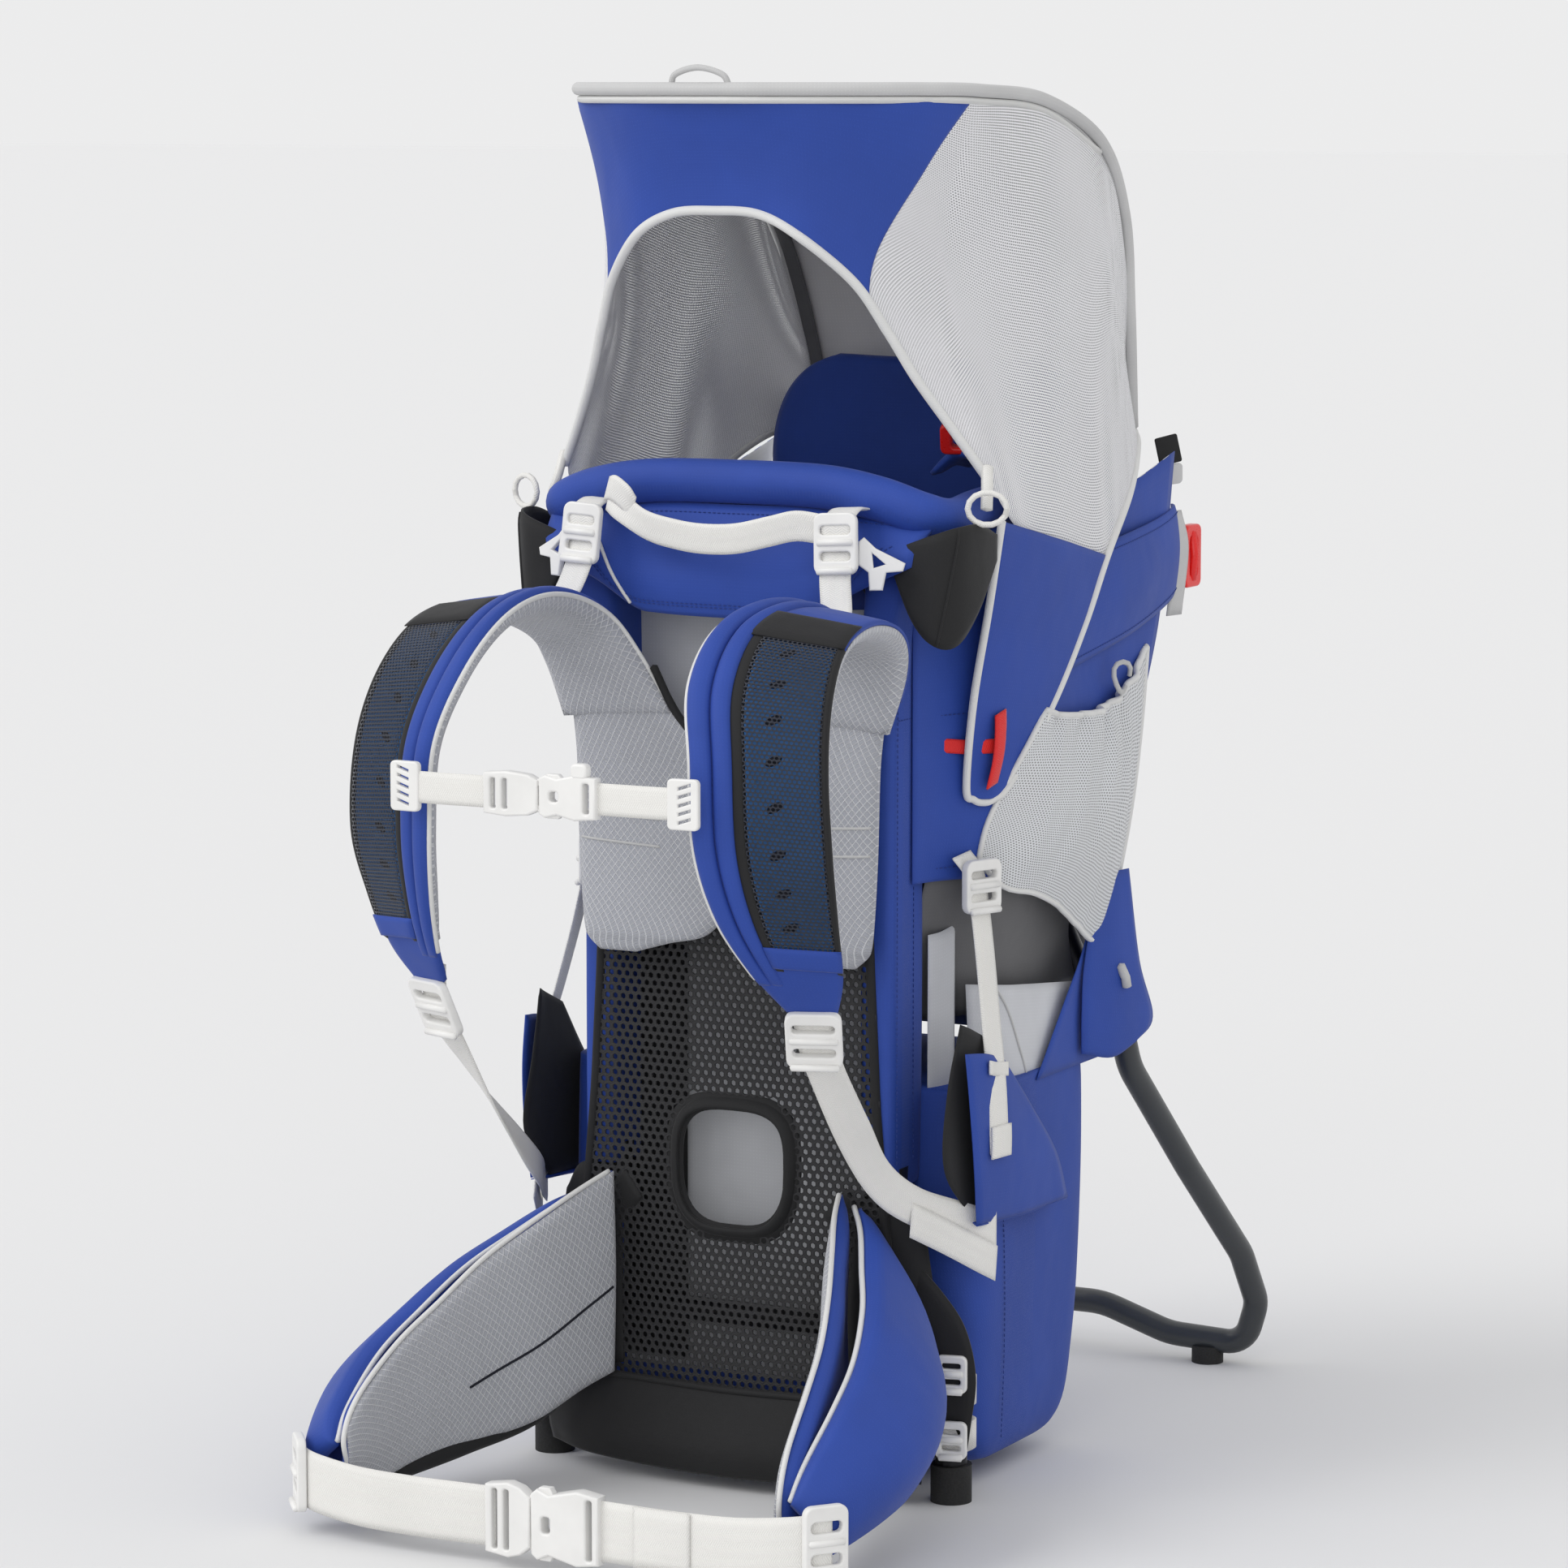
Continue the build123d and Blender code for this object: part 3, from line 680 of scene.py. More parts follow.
def moulded(name, colour, roughness, grain=0.25, **sockets):
    """Moulded plastic, rubber or coated metal with a fine grain."""
    material, tree, shader = blank(name, roughness, **sockets)
    wear = placed(tree, WEAR, Broad=30.0, Fine=900.0)
    tree.links.new(
        shades(tree, wear["Drift"], scaled(colour, 0.88), scaled(colour, 1.1)), shader.inputs["Base Color"]
    )
    rough = node(tree, "MapRange", [wear["Grain"], 0.3, 0.7, roughness - 0.07, roughness + 0.07])
    tree.links.new(rough.outputs[0], shader.inputs["Roughness"])
    bumped(tree, shader, [(wear["Grain"], grain, 0.15)])
    return material


BLUE = woven_cloth("blue nylon", (0.013, 0.052, 0.315))
BLUE_DEEP = woven_cloth("deep blue nylon", (0.010, 0.036, 0.22))
BLACK = woven_cloth("black nylon", (0.007, 0.007, 0.008), roughness=0.8, dot_bump=0.1)
GREY_LINING = woven_cloth("grey lining", (0.56, 0.57, 0.60), dot_bump=0.1, crease=0.8)
GREY_CLOTH = woven_cloth("grey canopy cloth", (0.70, 0.69, 0.69), dot_bump=0.1)
HOOP_BINDING = woven_cloth("rim binding", (0.50, 0.50, 0.50), pitch=0.7, dot_bump=0.0, crease=0.2)
# painted shade: a darkened copy of the grey lining, for cloth that lies in shadow
LINING_PAINTED_SHADE = woven_cloth("shaded lining", (0.115, 0.115, 0.12), dot_bump=0.1, crease=0.8)
RED_WEBBING = webbing_cloth("red webbing", (0.72, 0.012, 0.012))
WHITE_WEBBING = webbing_cloth("white webbing", (0.78, 0.77, 0.74))
WHITE_BINDING = webbing_cloth("white binding", (0.74, 0.74, 0.73), pitch=0.9)
GREY_CORD = webbing_cloth("grey cord", (0.55, 0.55, 0.55), pitch=0.9)
DIAMOND = diamond_cloth("diamond spacer mesh", (0.66, 0.67, 0.70), (0.36, 0.37, 0.41))
CANOPY_MESH = open_mesh("canopy mesh", (0.80, 0.80, 0.82), pitch=2.1, size=0.27, see_through=0.8)
POCKET_MESH = open_mesh("pocket mesh", (0.66, 0.67, 0.69), pitch=2.2, size=0.24, see_through=0.4)
NET = woven_cloth("black net thread", (0.014, 0.014, 0.016), roughness=0.7, dot_bump=0.0, crease=0.1)
FOAM_NET = open_mesh("strap net", (0.012, 0.016, 0.03), pitch=2.9, size=0.36, see_through=1.0)
FOAM_BLUE = woven_cloth("strap foam", (0.045, 0.16, 0.42), roughness=0.9, dot_bump=0.0)
FOAM_DARK = moulded("foam hole", (0.004, 0.005, 0.012), 0.9)
WHITE_PLASTIC = moulded("white acetal", (0.76, 0.755, 0.74), 0.42)
RED_PLASTIC = moulded("red acetal", (0.72, 0.012, 0.01), 0.32)
BLACK_PLASTIC = moulded("black plastic", (0.012, 0.012, 0.013), 0.45)
STAND_COAT = moulded("charcoal coat", (0.032, 0.036, 0.040), 0.40, grain=0.35, Coat_Weight=0.15)
FRAME_COAT = moulded("black anodised tube", (0.018, 0.018, 0.02), 0.38, grain=0.2, Metallic=0.6)
STEEL = moulded("brushed pin", (0.55, 0.55, 0.57), 0.35, grain=0.3, Metallic=1.0)
RUBBER = moulded("black rubber", (0.012, 0.012, 0.012), 0.78, grain=0.6)


# ---------------------------------------------------------------- camera, floor and light

def add_camera():
    camera = bpy.data.objects.new("camera", bpy.data.cameras.new("camera"))
    camera.data.lens = 126
    camera.data.sensor_width = 36
    camera.location = at(1596, -3031, 885)
    camera.rotation_euler = (math.radians(90 - 7.32), 0, math.radians(27.4))
    bpy.context.scene.collection.objects.link(camera)
    bpy.context.scene.camera = camera


def add_floor():
    reach = 60.0
    corners = [(-reach, -reach, 0), (reach, -reach, 0), (reach, reach, 0), (-reach, reach, 0)]
    floor = new_object("floor", corners, [(0, 1, 2, 3)], smooth=False)
    material, _, shader = blank("pale floor", 0.9)
    shader.inputs["Base Color"].default_value = (0.735, 0.735, 0.737, 1)
    floor.data.materials.append(material)


def add_sun(name, strength, spread_degrees, direction):
    """A soft sun that shines along a direction."""
    data = bpy.data.lights.new(name, "SUN")
    data.energy = strength
    data.angle = math.radians(spread_degrees)
    sun = bpy.data.objects.new(name, data)
    sun.rotation_euler = Vector(direction).to_track_quat("-Z", "Y").to_euler()
    bpy.context.scene.collection.objects.link(sun)


def add_world(brightness):
    world = bpy.data.worlds.new("studio")
    world.use_nodes = True
    background = world.node_tree.nodes["Background"]
    background.inputs[0].default_value = (0.84, 0.84, 0.843, 1)
    background.inputs[1].default_value = brightness
    bpy.context.scene.world = world


add_camera()
add_floor()
add_sun("key", 1.05, 35, (0.75, 0.75, -1.0))
add_sun("fill", 0.55, 50, (-0.35, 0.9, -0.25))
add_world(1.0)
bpy.context.scene.view_settings.view_transform = "Standard"


# ---------------------------------------------------------------- pieces of cloth, webbing and moulding

def twin(piece, name):
    """The same dressed piece on the other side of the pack."""
    mesh = piece.data.copy()
    mesh.transform(Matrix.Scale(-1, 4, (1, 0, 0)))
    mesh.flip_normals()
    other = piece.copy()
    other.data = mesh
    other.name = name
    bpy.context.scene.collection.objects.link(other)
    return other


def dress_pair(piece, material, slot, body, *nodes):
    """Dresses a right piece, and makes its twin on the left."""
    dress(piece, material, slot, body, *nodes)
    twin(piece, piece.name.replace("right", "left"))


def two_faced(piece, back_material):
    """Gives the back faces of a slab their own finish; a slab's quads alternate front and back."""
    piece.data.materials.append(back_material)
    for polygon in piece.data.polygons:
        if polygon.index % 2 and polygon.index < len(piece.data.polygons) * 0.98:
            polygon.material_index = 1
    return piece


def mirrored_line(half):
    """A line from the left to the right through points given from the middle to the right."""
    return [(-x, y, z) for x, y, z in reversed(half[1:])] + list(half)


# ---------------------------------------------------------------- canopy

ARCH = [
    (0, -44, 805), (30, -43, 803), (56, -41, 790), (84, -22, 762),
    (100, -8, 732), (114, 5, 702), (131, 19, 672), (150, 32, 640),
]
VISOR_TOP = [
    (0, -62, 873), (36, -60, 873), (66, -49, 873), (94, -31, 873),
    (112, -14, 873), (124, 4, 873), (131, 20, 873), (138, 40, 872),
]
SIDE_LOW = [
    (150, 32, 640), (157, 66, 604), (160, 120, 592), (160, 190, 581),
    (154, 240, 618), (138, 288, 644), (118, 325, 652),
]
SIDE_TOP = [
    (138, 40, 872), (144.5, 82, 872), (146.5, 130, 867), (143.5, 190, 851),
    (138.5, 240, 826), (132, 272, 794), (124.5, 303, 740),
]
HOOP = [
    (117, 327, 655), (124, 305, 735), (132.5, 276, 797), (143, 215, 845), (147, 120, 872),
    (139, 44, 878), (122, 2, 879), (94, -34, 879), (40, -61, 879), (0, -65, 879),
]
SEAM_POWER = 1.9
SEAM_AT_ARCH = 0.49
SEAM_AT_TOP = 0.97
FRONT_PULL = 26 * MM
SIDE_PULLS = (26, 17, 7, 4, 4, 5, 4)
SMOOTHING_PASSES = 8


def visor_grid(from_share, to_share, across, along):
    """Places between the arch and the canopy's front edge, each share running 0 at the middle to 1."""
    arch = curve_through(row(*ARCH), 12)
    top = curve_through(row(*VISOR_TOP), 12)

    def along_curve(points, share):
        place = abs(share) * (len(points) - 1)
        index = min(int(place), len(points) - 2)
        spot = points[index].lerp(points[index + 1], place - index)
        return Vector((math.copysign(spot.x, share), spot.y, spot.z)) if share else spot

    grid = []
    for r in range(along + 1):
        v = r / along
        low, high = from_share(v), to_share(v)
        line = []
        for c in range(across + 1):
            share = low + (high - low) * c / across
            spot = along_curve(arch, share).lerp(along_curve(top, share), v)
            pull = math.sin(math.pi * v) * FRONT_PULL * abs(share) ** 2
            spot.x -= math.copysign(pull, share)
            spot.y += math.sin(math.pi * v) * 3 * MM
            line.append(spot)
        grid.append(line)
    return grid


def seam_share(v):
    return SEAM_AT_ARCH + (SEAM_AT_TOP - SEAM_AT_ARCH) * v ** SEAM_POWER


def build_canopy():
    visor = slab("canopy_front", visor_grid(lambda v: -seam_share(v), seam_share, 96, 22), 0.8 * MM,
                 0.8 * MM)
    dress(visor, BLUE, "blue_fabric", "canopy", "canopy_visor")
    two_faced(visor, GREY_LINING)
    middles = []
    for low, high, pull in zip(SIDE_LOW, SIDE_TOP, SIDE_PULLS):
        middles.append(((low[0] + high[0]) / 2 - pull, (low[1] + high[1]) / 2, (low[2] + high[2]) / 2))
    rear_grid = spread([row(*SIDE_LOW), row(*middles), row(*SIDE_TOP)], 12, 18)
    front_grid = visor_grid(seam_share, lambda v: 1.0, 22, 36)
    grid = [front[:-1] + rear for front, rear in zip(front_grid, rear_grid)]
    for line in grid:
        for _ in range(SMOOTHING_PASSES):
            line[1:-1] = [(line[i - 1] + line[i] * 2 + line[i + 1]) / 4 for i in range(1, len(line) - 1)]
    side = slab("canopy_side_right", grid, 0.6 * MM, 0.6 * MM)
    dress_pair(side, CANOPY_MESH, "grey_mesh", "canopy", "canopy_sides")

    roof_rows = []
    for x, y, z in reversed(HOOP[:-1]):
        bow = 3.0 if y > 200 else 0.0
        roof_rows.append(row((-x, y, z - 2), (-x / 2, y + bow, z - 1), (0, y + bow * 1.3, z - 1),
                             (x / 2, y + bow, z - 1), (x, y, z - 2)))
    roof = slab("canopy_roof_cloth", spread(roof_rows, 8, 8), 0.8 * MM, 0.8 * MM)
    dress(roof, GREY_CLOTH, "grey_mesh", "canopy", "canopy_roof")

    hoop = pipe("canopy_hoop_binding", curve_through(row(*mirrored_line(list(reversed(HOOP)))), 10),
                4.2 * MM, sides=14)
    dress(hoop, HOOP_BINDING, "hoop_piping", "canopy", "canopy_hoop")
    flange_line = [(x - 1.5 if x > 0 else x, y, z - 6.5) for x, y, z in reversed(HOOP[3:])]
    flange = pipe("canopy_front_binding", curve_through(row(*mirrored_line(flange_line)), 10),
                  2.4 * MM, sides=8)
    dress(flange, WHITE_BINDING, "hoop_piping", "canopy")
    arch = pipe("canopy_arch_binding", curve_through(row(*mirrored_line(ARCH)), 10), 3.1 * MM, sides=12)
    dress(arch, WHITE_BINDING, "hoop_piping", "canopy")

    sleeve_line = [(x - 7, y - 4, z) for x, y, z in HOOP[:4]]
    sleeve = ribbon("canopy_rod_sleeve_right", row(*sleeve_line), Vector((1, 0.2, 0)), 13 * MM, 1.2 * MM)
    # painted shade: the rod sleeves are drawn in the darkened lining copy
    dress_pair(sleeve, LINING_PAINTED_SHADE, "grey_mesh", "canopy")


# Front edge and rear edge of the tail as (X, Y, Z), from its tip up
TAIL_FRONT = [(134, 47, 438), (132, 41, 446), (138, 38, 500), (149, 37, 560), (158, 36, 614)]
TAIL_REAR = [(141, 62, 437), (146, 76, 446), (153, 122, 490), (158, 160, 538), (160.5, 190, 581)]


def build_tails():
    """Long points of the canopy's cloth that hang over the cockpit's sides."""
    rows = []
    for front, rear in zip(TAIL_FRONT, TAIL_REAR):
        line = []
        for share in (0, 0.33, 0.67, 1):
            spot = [a + (b - a) * share for a, b in zip(front, rear)]
            line.append(at(spot[0] + 2.5 * math.sin(math.pi * share), spot[1], spot[2]))
        rows.append(line)
    tail = slab("canopy_tail_right", spread(rows, 8, 10), 0.8 * MM, 0.8 * MM)
    edge = [*reversed(TAIL_FRONT), (137.5, 54, 435.5), *TAIL_REAR, (154, 240, 618), (138, 288, 644),
            (119, 326, 652)]
    binding = pipe("tail_binding_right", curve_through(row(*edge), 8), 2.6 * MM, sides=10)
    dress_pair(tail, BLUE, "blue_fabric", "canopy", "canopy_tails")
    dress_pair(binding, WHITE_BINDING, "hoop_piping", "canopy")


def build_canopy_loops():
    """Elastic loops and end caps at the canopy's front, and the little loop on its rim."""
    parts = []
    ring = [at(163 + 11 * math.cos(k * 0.45), 4 + 5 * math.cos(k * 0.45), 624 + 10 * math.sin(k * 0.45))
            for k in range(14)]
    parts.append(pipe("loop", ring, 1.9 * MM, closed=True, sides=8))
    parts.append(pipe("tip", row((150, 31, 648), (152, 27, 634), (154, 22, 622)), 4.0 * MM, sides=10,
                      flat=0.7))
    loop = joined("corner_loop_right", parts)
    dress_pair(loop, WHITE_WEBBING, "white_webbing", "canopy", "canopy_loops")
    rim = row((-20, -63, 881), (-16, -65, 888), (0, -66, 892), (16, -65, 888), (20, -63, 881))
    dress(pipe("rim_loop", curve_through(rim, 6), 2.0 * MM, sides=8), GREY_CORD, "white_webbing", "canopy")


# ---------------------------------------------------------------- collar, handle and upper buckles

def build_collar():
    half = [(0, -13, 636), (60, -14, 635), (98, -14, 629), (124, -8, 620), (133, 14, 615), (130, 60, 618),
            (129, 112, 620), (129, 168, 622)]
    roll = pipe("collar_padded_roll", curve_through(row(*mirrored_line(half)), 8), 13.5 * MM, sides=24,
                flat=1.05)
    dress(roll, BLUE, "blue_fabric", "carrier", "collar_roll")
    low = [(0, -33, 553), (45, -32, 554), (64, -31, 557), (92, -30, 573), (128, -29, 589)]
    mid = [(0, -35, 580), (45, -35, 580), (68, -34, 582), (96, -32, 592), (130, -27, 600)]
    top = [(0, -17, 622), (45, -17, 622), (72, -17, 620), (102, -15, 616), (134, -12, 612)]
    grid = spread([row(*mirrored_line(line)) for line in (low, mid, top)], 6, 8)
    panel = slab("collar_front_cloth", grid, 2.5 * MM, 3.5 * MM, crowned(6.0, 0.4))
    dress(panel, BLUE, "blue_fabric", "carrier", "collar_front_panel")
    seams = []
    for low_v, start, end in ((0.13, 0.17, 0.83), (0.17, 0.17, 0.83), (0.93, 0.05, 0.95)):
        seams.append(front_line("collar_front_cloth", (start, low_v), (end, low_v), 40, 0.3 * MM))
    for sign in (-1, 1):
        for inset in (0.0, 0.02):
            start = (0.5 + sign * (0.33 - inset), 0.14)
            end = (0.5 + sign * (0.44 - inset), 0.62)
            seams.append(front_line("collar_front_cloth", start, end, 20, 0.3 * MM))
    stitches("collar_stitches", seams, BLUE_DEEP, "blue_fabric", "carrier")
    edging = front_line("collar_front_cloth", (0.245, 0.06), (0.16, 0.62), 16, 0.6 * MM)
    piping = pipe("collar_edging_left", edging, 1.1 * MM, sides=8)
    dress(piping, WHITE_BINDING, "white_webbing", "carrier")
    # painted shadow: a deep blue sheet under the collar roll, standing in for the shade it casts
    collar_painted_shadow = slab("collar_shadow_cloth", spread([
        row((-100, -6, 560), (0, -8, 556), (100, -6, 560)),
        row((-108, -6, 622), (0, -8, 624), (108, -6, 622)),
    ], 8, 8), 1 * MM, 1 * MM)
    dress(collar_painted_shadow, BLUE_DEEP, "blue_fabric", "carrier")


def build_corner_patch():
    low = [(112, -27, 590), (128, -29, 556), (142, -27, 541), (152, -15, 541), (156, 6, 560), (156, 32, 590)]
    top = [(116, -25, 600), (132, -27, 606), (146, -25, 611), (155, -14, 614), (157, 6, 614), (156, 32, 606)]
    grid = spread([row(*low), row(*top)], 6, 12)
    patch = slab("corner_patch_right", grid, 2.2 * MM, 2.2 * MM, crowned(5.0, 0.35))
    dress_pair(patch, BLACK, "black_fabric", "carrier", "corner_patches")
    seam_line = front_line("corner_patch_right", (0.42, 0.02), (0.55, 0.98), 20, 0.2 * MM)
    seam = pipe("corner_seam_right", seam_line, 0.9 * MM, sides=6)
    dress_pair(seam, BLACK, "black_fabric", "carrier")


def ladder_lock(name, origin, across, up, width, height, thick=5.0):
    """A webbing buckle: a rounded frame with two slots round a middle bar, and a lip at its foot."""
    outline = rounded_outline(width, height, min(width, height) * 0.2)
    slot_high = height * 0.15
    holes = []
    for level in (0.22, -0.2):
        ring = rounded_outline(width - 8, slot_high, slot_high * 0.4, 3)
        holes.append([(x, y + height * level) for x, y in reversed(ring)])
    place = facing(origin, across, up)
    frame_plate = plate(name, outline, holes, thick, 1.2, place)
    out = place.to_3x3() @ UP
    side = Vector(across).normalized()
    parts = [frame_plate]
    for level, reach in ((-0.44, 1.6), (0.02, 0.6)):
        middle = place @ Vector((0, height * level * MM, 0)) + out * (thick / 2 - 0.8 + reach) * MM
        half = side * (width / 2 - 3) * MM
        parts.append(pipe(name + "_bar", [middle - half, middle, middle + half], 2.2 * MM, sides=10))
    return joined(name, parts)


def build_upper_buckles():
    lock = ladder_lock("lifter_lock_right", at(89, -55, 604), (1, 0.1, 0.05), (0, 0.1, 1), 28, 38)
    dress_pair(lock, WHITE_PLASTIC, "white_plastic", "carrier", "lifter_locks")
    anchor_line = row((88, -20, 622), (88, -38, 624), (89, -53, 617), (89, -54, 607))
    anchor = ribbon("lifter_anchor_right", anchor_line, Vector((1, 0.1, 0.05)), 20 * MM, 1.8 * MM)
    dress_pair(anchor, WHITE_WEBBING, "white_webbing", "carrier")
    star = [(-11, 15), (-3, 9), (16, 2), (15, -3), (5, -5), (4, -16), (-4, -17), (-6, -6), (-13, -2),
            (-14, 12)]
    hole = [(-5, 6), (4, 0), (-3, -3)]
    keeper = plate("webbing_keeper_right", star[::-1], [hole], 4.0, 1.0,
                   facing(at(113, -44, 592), (0.9, 0.35, -0.1), (0, 0.1, 1)))
    dress_pair(keeper, WHITE_PLASTIC, "white_plastic", "carrier")


def build_handle():
    line = [(-72, -50, 628), (-62, -54, 622), (-42, -57, 611), (-20, -58.5, 606), (0, -59, 604),
            (22, -58.5, 605), (44, -57, 610), (62, -55, 614), (80, -52, 612)]
    sides = [Vector((0.1, 0.25, 1))] * 2 + [Vector((0, -0.12, 1))] * 7
    strap = ribbon("handle_webbing", row(*line), sides, 19 * MM, 2.2 * MM, steps=6, wide=8)
    dress(strap, WHITE_WEBBING, "white_webbing", "handle", "grab_handle")
    fold = ribbon("handle_fold", row((-74, -49, 632), (-66, -55, 633), (-56, -57, 627), (-52, -55, 620)),
                  Vector((0.4, -0.2, 1)), 17 * MM, 1.8 * MM)
    dress(fold, WHITE_WEBBING, "white_webbing", "handle")


# ---------------------------------------------------------------- harness

STRAP = [
    # inner edge and outer edge of the strap, from the yoke over the shoulder down to its foot
    ((38, -31, 492), (114, -31, 486)),
    ((60, -34, 528), (126, -33, 520)),
    ((72, -48, 552), (133, -46, 543)),
    ((77, -84, 567), (140, -80, 557)),
    ((75, -134, 571), (145, -124, 560)),
    ((73, -184, 560), (150, -164, 549)),
    ((77, -222, 531), (156, -192, 521)),
    ((87, -239, 490), (161, -206, 482)),
    ((90, -240, 440), (164, -206, 432)),
    ((97, -227, 398), (161, -193, 393)),
    ((108, -202, 362), (156, -177, 358)),
    ((118, -176, 336), (145, -163, 333)),
]
STRAP_ROWS = [row(a, ((a[0] + b[0]) / 2, (a[1] + b[1]) / 2, (a[2] + b[2]) / 2), b) for a, b in STRAP]
STRAP_GRID = spread(STRAP_ROWS, 10, 8)


def strap_place(u, v):
    """A place on the strap's outer face: u from its inner edge to its outer, v from the yoke to its foot."""
    x = min(max(u, 0), 1) * (len(STRAP_GRID[0]) - 1)
    y = min(max(v, 0), 1) * (len(STRAP_GRID) - 1)
    c, r = min(int(x), len(STRAP_GRID[0]) - 2), min(int(y), len(STRAP_GRID) - 2)
    low = STRAP_GRID[r][c].lerp(STRAP_GRID[r][c + 1], x - c)
    high = STRAP_GRID[r + 1][c].lerp(STRAP_GRID[r + 1][c + 1], x - c)
    return low.lerp(high, y - r)


def strap_strip(name, u_low, u_high, v_low, v_high, inner, outer, across=8, along=60, profile=None,
                lift=0.0):
    """Part of the strap as a slab; u_low and u_high are shares or functions of how far down it is."""
    low = u_low if callable(u_low) else lambda t: u_low
    high = u_high if callable(u_high) else lambda t: u_high
    grid = []
    for r in range(along + 1):
        t = r / along
        v = v_low + (v_high - v_low) * t
        a, b = low(t), high(t)
        grid.append([strap_place(a + (b - a) * c / across, v) for c in range(across + 1)])
    if lift:
        normals = grid_normals(grid)
        grid = [[p - n * lift for p, n in zip(line, ns)] for line, ns in zip(grid, normals)]
    return slab(name, grid, inner, outer, profile)


def build_straps():
    """Each shoulder strap: foam pad, rolled inner edge, net window, bands and seams."""
    pad = strap_strip("strap_pad_right", 0.0, 1.0, 0.0, 0.9, 12 * MM, 1 * MM, 14, 90, crowned(4.0, 0.3))
    dress_pair(pad, DIAMOND, "diamond_pad", "harness")
    foot = strap_strip("strap_foot_right", 0.0, 1.0, 0.86, 1.0, 5 * MM, 2.5 * MM, 12, 20, crowned(5.0, 0.4))
    dress_pair(foot, BLUE, "blue_fabric", "harness")
    ridge_profile = crowned(2.0, 0.15)
    for index, (start, end) in enumerate(((0.0, 0.16), (0.16, 0.31))):
        ridge = strap_strip(f"strap_edge_right_{index}", start, end, 0.18, 0.93, 1.5 * MM, 4.5 * MM, 8, 80,
                            ridge_profile, 1.5 * MM)
        dress_pair(ridge, BLUE, "blue_fabric", "harness")
    shell = strap_strip("strap_shell_right", 0.3, 1.0, 0.05, 0.45, 1.5 * MM, 2.2 * MM, 10, 40,
                        crowned(6.0, 0.5), 1.5 * MM)
    dress_pair(shell, BLUE, "blue_fabric", "harness")
    border = strap_strip("strap_border_right", 0.29, 0.40, 0.42, 0.9, 1 * MM, 2.2 * MM, 4, 50, None,
                         1.5 * MM)
    dress_pair(border, BLACK, "black_fabric", "harness")
    edge = strap_strip("strap_outer_edge_right", 0.93, 1.0, 0.42, 0.9, 2.5 * MM, 3.0 * MM, 4, 50, None,
                       0.5 * MM)
    dress_pair(edge, BLACK, "black_fabric", "harness")
    foam = strap_strip("strap_foam_right", 0.3, 0.97, 0.42, 0.9, 0.5 * MM, 1.2 * MM, 10, 50, None, 0.8 * MM)
    dress_pair(foam, FOAM_BLUE, "blue_fabric", "harness")
    net = strap_strip("strap_net_right", 0.38, 0.95, 0.42, 0.89, 0.3 * MM, 0.5 * MM, 14, 60, None, 3.6 * MM)
    dress_pair(net, FOAM_NET, "black_net", "harness")
    hole_parts = []
    for k in range(8):
        v = 0.475 + 0.05 * k
        a, b = strap_place(0.55, v + 0.004), strap_place(0.66, v - 0.004)
        n = (b - a).cross(strap_place(0.6, v + 0.02) - strap_place(0.6, v - 0.02)).normalized()
        middle = (a + b) / 2 - n * 2.1 * MM
        down = (strap_place(0.6, v + 0.02) - strap_place(0.6, v - 0.02)).normalized()
        loops = []
        for depth, size in ((0.0, 1.0), (0.35, 0.9)):
            loops.append(ellipse_loop(middle - n * depth * MM, (b - a).normalized() * 5.2 * MM * size,
                                      down * 2.9 * MM * size, 14))
        hole_parts.append(lofted("hole", loops))
    dress_pair(joined("strap_holes_right", hole_parts), FOAM_DARK, "black_net", "harness")
    band = strap_strip("strap_band_right", 0.26, 1.0, 0.385, 0.455, 1 * MM, 1.5 * MM, 10, 10, None, 4.2 * MM)
    dress_pair(band, BLACK, "black_fabric", "harness")
    lip = strap_strip("strap_lip_right", 0.3, 1.0, 0.855, 0.89, 1 * MM, 1.5 * MM, 10, 8, None, 3.8 * MM)
    dress_pair(lip, BLUE, "blue_fabric", "harness")
    pipe_line = [strap_place(-0.01, 0.02 + 0.9 * k / 90) for k in range(91)]
    dress_pair(pipe("strap_piping_right", pipe_line, 1.7 * MM, sides=8), WHITE_BINDING, "white_webbing",
               "harness")
    rows = []
    for v in (0.905, 0.917):
        rows.append([strap_place(0.2 + 0.6 * k / 12, v) for k in range(13)])
    rows = [[p + (at(-0.6, -3.4, 0.8) - at(0, 0, 0)) for p in line] for line in rows]
    thread = stitches("strap_stitches_right", rows, WHITE_BINDING, "white_webbing", "harness", pitch=2.6,
                      length=1.6, radius=0.3)
    twin(thread, "strap_stitches_left")
    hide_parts("shoulder_strap_right")
    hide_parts("shoulder_strap_left")


def build_yoke():
    """The diamond-mesh pad behind the wearer's shoulders, in two halves with sewn channels."""
    half = [
        # Z, then the pad's inner and outer X on one side
        (338, 64, 90), (345, 40, 98), (352, 14, 101), (372, 0, 103), (410, 0, 105), (450, 0, 106),
        (470, 14, 107), (496, 38, 110),
    ]
    grid = []
    for z, inner, outer in half:
        grid.append(row(*[(inner + (outer - inner) * k / 6, -29, z) for k in range(7)]))
    pad = slab("yoke_pad_right", spread(grid, 3, 8), 8 * MM, 3 * MM, crowned(4.0, 0.3))
    dress_pair(pad, DIAMOND, "diamond_pad", "harness", "yoke_pad")
    for index, v in enumerate((0.56, 0.62)):
        line = front_line("yoke_pad_right", (0.42, v), (0.97, v + 0.01), 14, 0.0)
        seam = pipe(f"yoke_seam_right_{index}", line, 0.9 * MM)
        dress_pair(seam, GREY_CORD, "diamond_pad", "harness")
    binding = row((12, -32, 468), (30, -32, 486), (40, -32, 500), (50, -33, 520))
    trim = pipe("yoke_trim_right", curve_through(binding, 6), 2.6 * MM, sides=8)
    dress_pair(trim, BLACK, "black_fabric", "harness")


